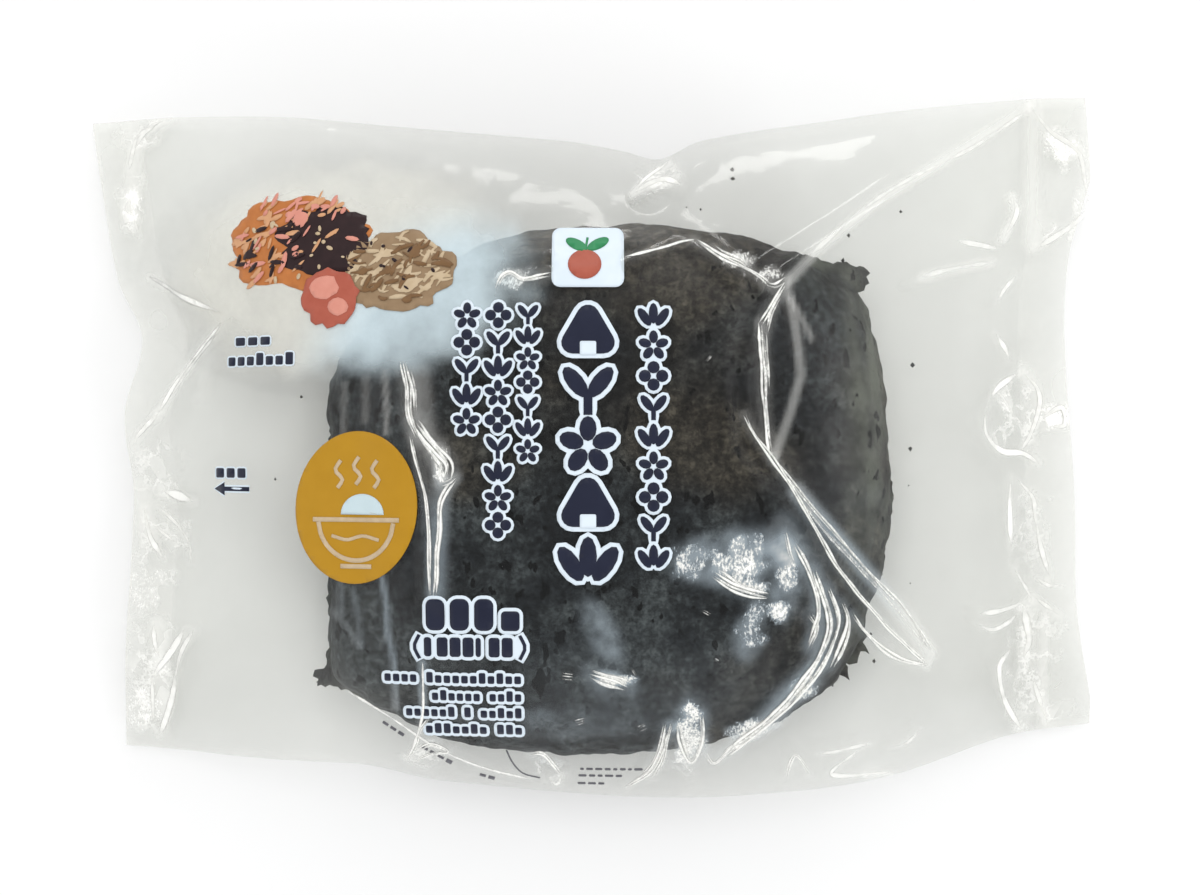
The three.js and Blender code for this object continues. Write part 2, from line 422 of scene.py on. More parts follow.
def mix_colours(tree, factor, a, b, blend_type="MIX"):
    """A mix of two colours, each an output or a plain colour."""
    node = add_node(tree, "ShaderNodeMix", {0: factor}, data_type="RGBA", blend_type=blend_type)
    colour_inputs = [socket for socket in node.inputs if socket.type == "RGBA"]
    for socket, value in zip(colour_inputs, (a, b)):
        set_input(tree, socket, value)
    return next(socket for socket in node.outputs if socket.type == "RGBA")


def bump(tree, height, distance, strength, before=None):
    """A normal bumped after another bump, if one is given; distance is in metres."""
    inputs = {"Height": height, "Distance": distance, "Strength": strength}
    if before is not None:
        inputs["Normal"] = before
    return add_node(tree, "ShaderNodeBump", inputs).outputs["Normal"]


def attribute_value(tree, name):
    """A number held on the mesh's corner points."""
    return add_node(tree, "ShaderNodeAttribute", attribute_name=name).outputs["Fac"]


def mix_shaders(tree, factor, a, b):
    """A mix of two shaders by an output or a plain number."""
    return add_node(tree, "ShaderNodeMixShader", {"Fac": factor, 1: a, 2: b}).outputs["Shader"]


def object_cells(tree, scale, stretch):
    """A random tone for each of many cornered cells in the object's own space."""
    return object_texture(tree, "ShaderNodeTexVoronoi", {"Scale": scale}, stretch).outputs["Color"]


def add_shader(tree, kind, inputs=None):
    """The output of one kind of surface shader."""
    return add_node(tree, "ShaderNodeBsdf" + kind, inputs).outputs["BSDF"]


def show_surface(tree, surface):
    """Makes a shader's output the material's surface."""
    add_node(tree, "ShaderNodeOutputMaterial", {"Surface": surface})


FACE_ON_REFLECTION = 0.045
# The film's white: warm, and cool where a painted reflection of blue sky tints it.
WARM_MILK = (0.97, 0.97, 0.935)
COOL_MILK = (0.74, 0.87, 0.96)


def film_milk_and_highlights(tree, grain_and_glints, speckle):
    """How white the film is: milky, with painted light; painted glints speckle it where frosted; where
    creased it is whitened, with veined and faceted painted highlights.
    """
    cloud = object_noise(tree, 480, detail=2.0)
    vein = object_noise(tree, 170, detail=4.0, roughness=0.6)
    # Painted glints: white speckles where the film is frosted.
    speckled_glints = calculate(tree, "MULTIPLY_ADD", grain_and_glints, 0.20, speckle)
    speckled_glints = step_up(tree, calculate(tree, "MULTIPLY_ADD", cloud, 0.5, speckled_glints), 0.80, 1.02)
    speckled_glints = calculate(tree, "MULTIPLY", speckled_glints, step_up(tree, grain_and_glints, 0.0, 0.15))
    off_vein = calculate(tree, "ABSOLUTE", calculate(tree, "SUBTRACT", vein, 0.5))
    veined = calculate(tree, "SUBTRACT", 1.0, step_up(tree, off_vein, 0.006, 0.045))
    # Whitened creases with painted highlights: veins and facets.
    facet = step_up(tree, object_cells(tree, 330, (1, 0.7, 1)), 0.45, 0.80)
    creased = calculate(tree, "MULTIPLY_ADD", facet, 0.40, calculate(tree, "MULTIPLY", veined, 0.60))
    milk_and_highlights = calculate(tree, "MULTIPLY_ADD", speckled_glints, 0.60, attribute_value(tree, "haze_and_painted_light"))
    milk_and_highlights = calculate(tree, "MULTIPLY_ADD", grain_and_glints, 0.30, milk_and_highlights)
    milk_and_highlights = calculate(tree, "MULTIPLY_ADD", creased, attribute_value(tree, "crease"), milk_and_highlights)
    return calculate(tree, "MINIMUM", milk_and_highlights, 1.0)


def film_material(name, clear_colour, painted_shade_tint, folded=False):
    """Clear film: see-through and glossy; where its attributes say so, darker with painted shade, milky,
    creased, and whitened by painted highlights and glints.

    Folded film stands on other film, so it is only glossy where it is milky.
    """
    material, tree = new_material(name)
    ripple = object_noise(tree, 300, detail=2.0)
    speckle = object_noise(tree, 2300, roughness=0.75, stretch=(1, 0.55, 1))
    grain_and_glints = attribute_value(tree, "grain_and_glints")
    milk_and_highlights = film_milk_and_highlights(tree, grain_and_glints, speckle)
    normal = bump(tree, ripple, 0.0002, 0.35)
    normal = bump(tree, calculate(tree, "MULTIPLY", speckle, grain_and_glints), 0.0006, 1.0, normal)

    # Darker see-through tint where the painted shade is.
    tint = mix_colours(tree, attribute_value(tree, "painted_shade"), clear_colour, painted_shade_tint)
    clear = add_shader(tree, "Transparent", {"Color": tint})
    # Thin white is tinted bluish by a painted reflection of sky.
    thin = calculate(tree, "SUBTRACT", 1.0, step_up(tree, milk_and_highlights, 0.3, 0.7))
    cool_share = calculate(tree, "MULTIPLY", attribute_value(tree, "cool"), thin)
    milk_and_highlight_shader = add_shader(tree, "Diffuse", {"Color": mix_colours(tree, cool_share, WARM_MILK, COOL_MILK)})
    body = mix_shaders(tree, milk_and_highlights, clear, milk_and_highlight_shader)

    soft_gloss = add_shader(tree, "Glossy", {"Roughness": 0.24, "Normal": normal})
    sharp_gloss = add_shader(tree, "Glossy", {"Roughness": 0.07, "Normal": normal})
    gloss = mix_shaders(tree, 0.55, soft_gloss, sharp_gloss)
    facing = add_node(tree, "ShaderNodeLayerWeight", {"Normal": normal}).outputs["Facing"]
    edge_on = calculate(tree, "POWER", facing, 5.0)
    reflection = calculate(tree, "MULTIPLY_ADD", edge_on, 1 - FACE_ON_REFLECTION, FACE_ON_REFLECTION)
    if folded:
        reflection = calculate(tree, "MULTIPLY", reflection, milk_and_highlights)
    show_surface(tree, mix_shaders(tree, reflection, body, gloss))
    return material


def seaweed_material():
    """Dried seaweed, soft from the rice: dark, mottled slate, brown and green, finely fibrous."""
    material, tree = new_material("dried_seaweed")
    cloud = object_noise(tree, 40, detail=5.0, roughness=0.6)
    mottle = object_noise(tree, 170, detail=5.0, roughness=0.65)
    patch = object_noise(tree, 19)
    fleck = object_noise(tree, 700, detail=4.0, roughness=0.75)
    fibre = object_noise(tree, 900, detail=4.0, roughness=0.65, stretch=(1, 0.35, 1))
    hole = object_noise(tree, 420, detail=2.0, stretch=(1, 0.6, 1))
    tone = calculate(tree, "MULTIPLY_ADD", cloud, 0.5, calculate(tree, "MULTIPLY", mottle, 0.5))

    slate = ramp(tree, tone, (0.43, (0.011, 0.013, 0.015)), (0.59, (0.045, 0.052, 0.055)))
    brown = ramp(tree, tone, (0.43, (0.012, 0.010, 0.008)), (0.59, (0.054, 0.048, 0.038)))
    browned = calculate(tree, "MULTIPLY_ADD", attribute_value(tree, "slate"), -0.12, patch)
    base = mix_colours(tree, step_up(tree, browned, 0.43, 0.56), slate, brown)
    flecks = ramp(tree, fleck, (0.40, (0.45, 0.45, 0.45)), (0.52, (1, 1, 1)), (0.64, (1.9, 1.9, 1.85)))
    base = mix_colours(tree, 1.0, base, flecks, "MULTIPLY")
    olive = ramp(tree, tone, (0.42, (0.040, 0.043, 0.034)), (0.58, (0.122, 0.131, 0.108)))
    base = mix_colours(tree, attribute_value(tree, "olive"), base, olive)
    pitted = calculate(tree, "MULTIPLY_ADD", patch, 0.35, hole)
    holes = ramp(tree, pitted, (0.515, (0.06, 0.06, 0.06)), (0.54, (1, 1, 1)))
    base = mix_colours(tree, 1.0, base, holes, "MULTIPLY")

    normal = bump(tree, fibre, 0.0003, 0.6)
    normal = bump(tree, mottle, 0.0009, 0.7, normal)
    inputs = {"Base Color": base, "Normal": normal, "Roughness": 0.65, "Specular IOR Level": 0.12}
    show_surface(tree, add_shader(tree, "Principled", inputs))
    return material


def ink_material(name, colour, darker, scale=260):
    """Ink on film: one colour with the faint unevenness of a printed solid."""
    material, tree = new_material(name)
    base = mix_colours(tree, object_noise(tree, scale, detail=4.0), darker, colour)
    inputs = {"Base Color": base, "Roughness": 0.34, "Specular IOR Level": 0.25}
    show_surface(tree, add_shader(tree, "Principled", inputs))
    return material


def mist_material():
    """White ink that thins out to nothing; the attributes hold its cover and how much a painted reflection of
    blue sky tints it.
    """
    material, tree = new_material("white_mist_ink")
    wisps = object_noise(tree, 120, detail=5.0, roughness=0.6)
    thin = calculate(tree, "MULTIPLY_ADD", wisps, 0.9, 0.55)
    cover = calculate(tree, "MULTIPLY", attribute_value(tree, "cover"), thin)
    ink_colour = mix_colours(tree, attribute_value(tree, "cool"), (0.90, 0.89, 0.82), (0.72, 0.84, 0.89))
    ink = add_shader(tree, "Diffuse", {"Color": ink_colour})
    show_surface(tree, mix_shaders(tree, cover, add_shader(tree, "Transparent"), ink))
    return material


# The clear film's see-through tint, and the darker tint of its painted shade.
FILM = film_material("clear_film", (0.968, 0.972, 0.960), (0.936, 0.940, 0.928))
FOLDED_FILM = film_material("folded_film", (1, 1, 1), (1, 1, 1), folded=True)
SEAWEED = seaweed_material()
MIST_INK = mist_material()
DARK_INK = ink_material("blue_black_ink", (0.022, 0.026, 0.050), (0.012, 0.014, 0.030))
WHITE_INK = ink_material("white_ink", (0.78, 0.86, 0.93), (0.66, 0.76, 0.85))
PALE_INK = ink_material("pale_blue_ink", (0.60, 0.72, 0.76), (0.54, 0.66, 0.70))
GREY_INK = ink_material("grey_ink", (0.16, 0.16, 0.18), (0.08, 0.08, 0.09))
MUSTARD_INK = ink_material("mustard_ink", (0.50, 0.265, 0.017), (0.43, 0.22, 0.011))
CORAL_INK = ink_material("coral_ink", (0.48, 0.135, 0.09), (0.36, 0.08, 0.05), 500)
PINK_INK = ink_material("pink_ink", (0.72, 0.32, 0.25), (0.62, 0.24, 0.18), 700)
GREEN_INK = ink_material("leaf_green_ink", (0.05, 0.30, 0.12), (0.03, 0.22, 0.09))
KELP_INK = ink_material("kelp_brown_ink", (0.038, 0.019, 0.020), (0.016, 0.008, 0.009), 500)
RUST_INK = ink_material("rust_brown_ink", (0.60, 0.225, 0.065), (0.40, 0.13, 0.035), 600)
TAN_INK = ink_material("tan_ink", (0.72, 0.40, 0.22), (0.54, 0.27, 0.13), 600)
CREAM_INK = ink_material("cream_ink", (0.36, 0.25, 0.15), (0.24, 0.155, 0.085), 600)
BROWN_INK = ink_material("shred_brown_ink", (0.24, 0.135, 0.062), (0.15, 0.08, 0.035), 600)
IVORY_INK = ink_material("ivory_ink", (0.66, 0.53, 0.37), (0.46, 0.34, 0.20), 600)

# ------------------------------------------------------------------ film

FILM_COLUMNS = 244
FILM_ROWS = 168

# How milky the film is over the ball and in the wings, what its seals and folded edges add, and the painted
# glow round the folds' highlights.
BALL_HAZE = 0.003
WING_HAZE = 0.045
SEAL_HAZE = 0.15
SIDE_FOLD_HAZE = 0.06
FOLD_HALO = 0.16
BALL_FOLD_HALO = 0.09

# Soft white bands in the film, whitened creases with painted highlights along them: points, half width and
# strength.
SOFT_BANDS = (
    (((34.5, 28), (39.5, 33.2), (51.2, 42.9), (60, 48.5), (82, 63)), 1.5, 0.26),
    (((83, 63), (82, 50), (81.5, 37)), 2.6, 0.26),
    (((77.6, 45.3), (78.5, 42.4), (75.7, 37.3)), 1.4, 0.30),
    (((58.5, 29), (63.6, 30.7), (73.2, 32.8)), 1.6, 0.16),
    (((34.2, 26.5), (35.6, 19), (36.3, 11.5), (34.4, 5), (31.7, -2.4)), 1.3, 0.20),
    (((34.6, 25), (36.6, 21.4), (38.3, 17.8)), 0.9, 0.17),
    (((35.5, -8.5), (47, -21.5), (55, -30.5), (60.4, -37.4)), 2.3, 0.26),
    (((33.5, -14), (38.5, -22), (41.5, -31), (39.5, -38), (30, -49)), 3.6, 0.10),
    (((-29, 12), (-28, 1), (-25.5, -6), (-26, -26)), 2.6, 0.12),
    (((-42.7, 10), (-43, -8), (-43.4, -30)), 0.9, 0.08),
    (((-38.9, 11.1), (-38.9, 3.7)), 1.1, 0.08),
    (((-35.4, 12), (-35.1, 6.3), (-35.1, 1.6)), 0.8, 0.16),
    (((-41.1, -25.7), (-40.4, -31), (-39.9, -35.8)), 0.9, 0.08),
    (((-36.1, -22.4), (-35.2, -27.6), (-35.1, -32.9), (-34, -38.3), (-34.1, -46.6)), 0.9, 0.20),
    (((-45, -29.5), (-42.8, -31.6), (-40.2, -35.8)), 0.9, 0.08),
    (((-28.9, -38.1), (-29.2, -47)), 1.1, 0.20),
    (((-66.5, 22), (-71.7, 16.5), (-79.7, 5)), 2.2, 0.12),
    (((-69, 15.2), (-71.2, 7.8)), 2.0, 0.10),
    (((-79, 60), (-85, 54), (-86, 40)), 2.4, 0.18),
    (((-83.5, -8), (-81.8, -18)), 2.6, 0.22),
    (((-80, -34), (-79, -50)), 2.5, 0.20),
    (((81, -30), (80.5, -52)), 3.0, 0.18),
    (((84.5, -33), (84, -54)), 1.4, 0.22),
    (((7.6, 43.9), (14.7, 50.0), (15.7, 47.7), (9, 44.5)), 1.2, 0.26),
)

# Painted reflections: soft veils of light on the film over the ball: centre, half sizes, turn in degrees and
# strength.
VEILS = (
    (25.0, -19.6, 13.0, 5.6, 7, 0.19),
    (3.4, -40.6, 3.8, 1.5, -14, 0.40),
    (34.0, -24.5, 3.2, 8.0, -10, 0.16),
    (31.5, -18.5, 4.5, 3.5, 0, 0.12),
    (2.0, -32.5, 3.4, 8.0, 28, 0.13),
    (27.5, -33.0, 3.6, 6.5, -15, 0.11),
    (4.0, -43.0, 6.0, 3.4, -20, 0.06),
    (6.0, 36.9, 12.0, 3.4, -2, 0.045),
    (-6.0, 35.4, 12.0, 3.4, 8, 0.055),
    (17.5, -50.0, 4.5, 7.0, 0, 0.14),
    (36.0, -43.5, 12.0, 3.4, 46, 0.10),
    (46.5, 2.0, 7.5, 32.0, 4, 0.022),
    (5.0, -42.0, 36.0, 12.0, 0, 0.012),
    (-8.0, -49.0, 22.0, 4.0, 0, 0.05),
)

# Where the film clings to the moist seaweed or is frosted: a fine bump with painted glints in white speckles:
# centre, half sizes, strength.
GRAINY_GLINT_SPOTS = (
    (17.4, -20.4, 3.8, 3.4, 0.50),
    (25.6, -21.0, 5.6, 4.2, 0.55),
    (26.6, -24.8, 4.6, 1.4, 1.0),
    (33.8, -24.0, 1.8, 3.4, 0.6),
    (33.3, -29.2, 2.4, 1.9, 1.0),
    (27.8, -31.5, 2.6, 3.6, 0.45),
    (17.6, -51.0, 2.4, 5.6, 1.0),
    (-12.5, 28.2, 3.6, 1.8, 1.0),
    (26.6, 31.4, 3.2, 1.3, 0.8),
    (30.6, 29.0, 2.4, 1.0, 0.7),
    (-25.6, -2.0, 1.5, 4.0, 0.8),
    (27.5, -50.5, 5.0, 1.8, 0.8),
    (37.0, -42.0, 2.2, 3.0, 0.6),
    (4.6, -40.9, 2.8, 1.2, 1.0),
    (-85.3, 44.2, 1.6, 3.2, 0.8),
    (-82.5, -27.5, 3.4, 5.5, 0.4),
    (-83.5, -50.0, 3.2, 5.0, 0.5),
    (86.0, 4.6, 2.8, 2.2, 0.7),
    (88.3, 54.5, 3.4, 3.0, 0.6),
)

# Patches of the seals and rims that are crumpled small, whitened with painted highlights in veins and facets:
# centre, half sizes and strength.
CRUMPLED_HIGHLIGHT_PATCHES = (
    (-84.0, 57.5, 4.5, 3.5, 0.55),
    (-85.4, 44.5, 2.6, 4.6, 0.80),
    (-80.0, -5.0, 5.5, 6.0, 0.55),
    (-79.0, -18.0, 5.5, 7.5, 0.50),
    (-81.5, -42.0, 4.5, 12.5, 0.60),
    (-28.5, -55.0, 5.0, 3.2, 0.60),
    (-7.5, -58.5, 4.0, 3.5, 0.55),
    (15.5, -57.0, 6.0, 4.0, 0.30),
    (11.5, 47.5, 4.5, 3.0, 0.50),
    (88.3, 54.5, 4.0, 4.2, 0.80),
    (90.8, 46.5, 1.8, 4.2, 0.60),
    (87.8, 39.2, 4.2, 2.2, 0.70),
    (78.0, 5.5, 5.5, 8.0, 0.65),
    (85.8, 4.6, 3.4, 2.6, 0.90),
    (80.5, -17.0, 4.5, 10.0, 0.35),
    (82.0, -41.0, 6.0, 14.0, 0.50),
)


def film_haze_and_painted_light(x, y):
    """How white the film is, 0 clear and 1 white: milky, whiter at its seals and folded edges, with painted
    highlights in soft bands, glows round folds and veils of reflected light.
    """
    share = ball_share(x, y)
    haze_and_painted_light = mix(BALL_HAZE, WING_HAZE, smooth(share, 0.92, 1.08))
    haze_and_painted_light += SEAL_HAZE * (1 - smooth(from_ends(x, y), SEAL_WIDTH - 0.6, SEAL_WIDTH + 0.6))
    haze_and_painted_light += SIDE_FOLD_HAZE * (1 - smooth(from_sides(x, y), 0.5, 2.5))
    haze_and_painted_light *= 1 + 0.6 * plan_noise(x, y, 16) + 0.4 * plan_noise(x, y, 5, 5.0)
    for chain, half_width, strength in SOFT_BANDS:
        haze_and_painted_light += strength * (1 - smooth(chain_distance(x, y, chain), 0.15 * half_width, half_width))
    for chain, width, _, white in FOLDS:
        if len(chain) > 2:
            strength = white * mix(BALL_FOLD_HALO, FOLD_HALO, smooth(share, 0.95, 1.2))
            haze_and_painted_light += strength * (1 - smooth(chain_distance(x, y, chain), 0.3 * width, 0.6 + width))
    cloud = np.maximum(0, 1 + 0.9 * plan_noise(x, y, 3.8, 3.0) + 0.6 * plan_noise(x, y, 1.6, 8.0))
    for veil in VEILS:
        haze_and_painted_light += veil_cover(x, y, veil) * cloud
    return np.clip(haze_and_painted_light, 0, 1)


def veil_cover(x, y, veil):
    """Strength of one soft elliptic veil."""
    centre_x, centre_y, half_x, half_y, turn, strength = veil
    turn = math.radians(turn)
    across = (x - centre_x) * math.cos(turn) + (y - centre_y) * math.sin(turn)
    along = (y - centre_y) * math.cos(turn) - (x - centre_x) * math.sin(turn)
    return strength * (1 - smooth(np.hypot(across / half_x, along / half_y), 0.45, 1.1))


def ragged_spots(x, y, spots, ragged, full, none):
    """How far spots cover the film: their strength up to `full` of their half sizes, 0 beyond `none`.

    The values in ragged shift a spot's edge from place to place.
    """
    cover = np.zeros(np.shape(x))
    for centre_x, centre_y, half_x, half_y, strength in spots:
        distance = np.hypot((x - centre_x) / half_x, (y - centre_y) / half_y) + ragged
        cover = np.maximum(cover, strength * (1 - smooth(distance, full, none)))
    return cover


def coolness(x, y):
    """1 where a painted reflection of blue sky tints the film's white, over the near part of the ball, and 0
    elsewhere.
    """
    return (1 - smooth(ball_share(x, y), 0.85, 1.1)) * smooth(-y, 0, 16)


def painted_shade_share(x, y):
    """1 where painted shade darkens the film's see-through tint: at the near corners and on the far side's
    middle.
    """
    near_corners = smooth(-y, 30, 50) * smooth(np.abs(x), 42, 60)
    far_middle = 0.75 * smooth(y, 32, 48) * (1 - smooth(np.abs(x), 48, 72))
    return np.maximum(near_corners, far_middle)


def make_film():
    """The closed pillow of film: face and back sheets that meet along one outline."""
    i, j = np.meshgrid(np.arange(FILM_COLUMNS + 1), np.arange(FILM_ROWS + 1), indexing="ij")
    x, y = plan_points(i / FILM_COLUMNS, j / FILM_ROWS)
    edge = (i == 0) | (i == FILM_COLUMNS) | (j == 0) | (j == FILM_ROWS)
    meeting = meeting_height(x, y)
    face = np.where(edge, meeting, face_height(x, y))
    back = np.where(edge, meeting, back_height(x, y))
    inner = ~edge.ravel()
    face_points = np.stack([x.ravel(), y.ravel(), face.ravel()], 1)
    back_points = np.stack([x.ravel(), y.ravel(), back.ravel()], 1)
    back_index = np.arange(x.size)
    back_index[inner] = x.size + np.arange(inner.sum())
    faces = grid_faces(FILM_COLUMNS, FILM_ROWS)
    faces += [tuple(back_index[list(f)]) for f in grid_faces(FILM_COLUMNS, FILM_ROWS, flip=True)]
    film = make_object("film", np.concatenate([face_points, back_points[inner]]), faces, FILM)

    # Frosted spots, which carry painted glints.
    grainy_glints = ragged_spots(x, y, GRAINY_GLINT_SPOTS, 0.9 * plan_noise(x, y, 3.0, 9.0), 0.5, 1.1)
    # Crumpled patches, whitened with painted highlights.
    crumpled = ragged_spots(x, y, CRUMPLED_HIGHLIGHT_PATCHES, 0.7 * plan_noise(x, y, 4.0, 12.0), 0.4, 1.2)
    looks = (("haze_and_painted_light", film_haze_and_painted_light(x, y), 0.6), ("grain_and_glints", grainy_glints, 0), ("crease", crumpled, 0),
             ("cool", coolness(x, y), 0), ("painted_shade", painted_shade_share(x, y), 1))
    for name, on_face, back_share in looks:
        on_face = on_face.ravel()
        add_attribute(film, name, np.concatenate([on_face, back_share * on_face[inner]]))
    mark_outline_sharp(film, edge.ravel())
    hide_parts("film_pack")
    return finish_piece(film)


def mark_outline_sharp(film, on_outline):
    """The film's outline is a crease: light isn't rounded over it."""
    corners = np.empty(2 * len(film.data.edges), int)
    film.data.edges.foreach_get("vertices", corners)
    corners = corners.reshape(-1, 2)
    both = np.zeros(len(film.data.vertices), bool)
    both[:len(on_outline)] = on_outline
    sharp = film.data.attributes.new("sharp_edge", "BOOLEAN", "EDGE")
    sharp.data.foreach_set("value", both[corners].all(axis=1))


# ------------------------------------------------------------------ sharp folds in the film

def smooth_chain(points, step=0.5):
    """Points every `step` along a smooth curve through a few given ones."""
    points = np.asarray(points, float)
    lengths = np.concatenate([[0], np.cumsum(np.hypot(*np.diff(points, axis=0).T))])
    at = np.linspace(0, lengths[-1], max(4, int(lengths[-1] / step)))
    x = read_curve(list(zip(lengths, points[:, 0])), at)
    y = read_curve(list(zip(lengths, points[:, 1])), at)
    return x, y, at / lengths[-1]


# A fold's cross-section, round from one foot over its top to the other: place, height and whiteness, for
# whitened film with a painted highlight along the top.
FOLD_SECTION = ((-1, 0, 0), (-0.55, 0.7, 0.95), (0, 1, 1), (0.55, 0.7, 0.95), (1, 0, 0), (0, -0.1, 0.4))
OUTLINE_MARGIN = 0.5
FOLD_STEP = 0.45
FOLD_LIFT = 0.06


def keep_inside(x, y):
    """Plan positions moved in from the pack's outline where they would cross it."""
    x = np.clip(x, read_curve(LEFT_END, y) + OUTLINE_MARGIN, read_curve(RIGHT_END, y) - OUTLINE_MARGIN)
    y = np.clip(y, read_curve(NEAR_SIDE, x) + OUTLINE_MARGIN, read_curve(FAR_SIDE, x) - OUTLINE_MARGIN)
    return x, y


def fold_mesh(chain, width, height, shift, unevenness, seed):
    """Points, faces and whiteness of one strand of a fold: a slim closed ridge that lies on the film.

    Unevenness is how much its width and whiteness change slowly and quickly on the way.
    """
    x, y, share = smooth_chain(chain, FOLD_STEP)
    length = FOLD_STEP * len(x)
    phase = 7.3 * seed
    along = np.stack([np.gradient(x), np.gradient(y)], 1)
    along /= np.linalg.norm(along, axis=1)[:, None] + 1e-9
    across = np.stack([-along[:, 1], along[:, 0]], 1)
    slow = np.array([noise.noise(Vector((phase, s * length / 6, 0))) for s in share])
    quick = np.array([noise.noise(Vector((phase, s * length / 1.3, 5))) for s in share])
    ends = np.clip(np.minimum(share, 1 - share) * length / 2.5, 0.05, 1) ** 0.7
    slow_change, quick_change = unevenness
    half_width = width / 2 * ends * (1 + slow_change * slow + 0.4 * quick_change * quick)
    strength = np.clip(0.95 + slow_change * slow + quick_change * quick, 0.05, 1.3) * ends
    middle = np.stack([x, y], 1) + across * (shift * (0.6 + 0.8 * slow))[:, None]
    points = []
    whiteness = []
    for place, up, white in FOLD_SECTION:
        px, py = keep_inside(*(middle + across * (place * half_width)[:, None]).T)
        points.append(np.stack([px, py, face_height(px, py) + FOLD_LIFT + up * height * ends], 1))
        whiteness.append(white * strength)
    sides = len(FOLD_SECTION)
    faces = []
    for n in range(len(x) - 1):
        for k in range(sides):
            a = n * sides + k
            b = n * sides + (k + 1) % sides
            faces.append((a, a + sides, b + sides, b))
    faces.append(tuple(range(sides)))
    faces.append(tuple((len(x) - 1) * sides + k for k in reversed(range(sides))))
    return np.stack(points, 1).reshape(-1, 3), faces, np.stack(whiteness, 1).ravel()
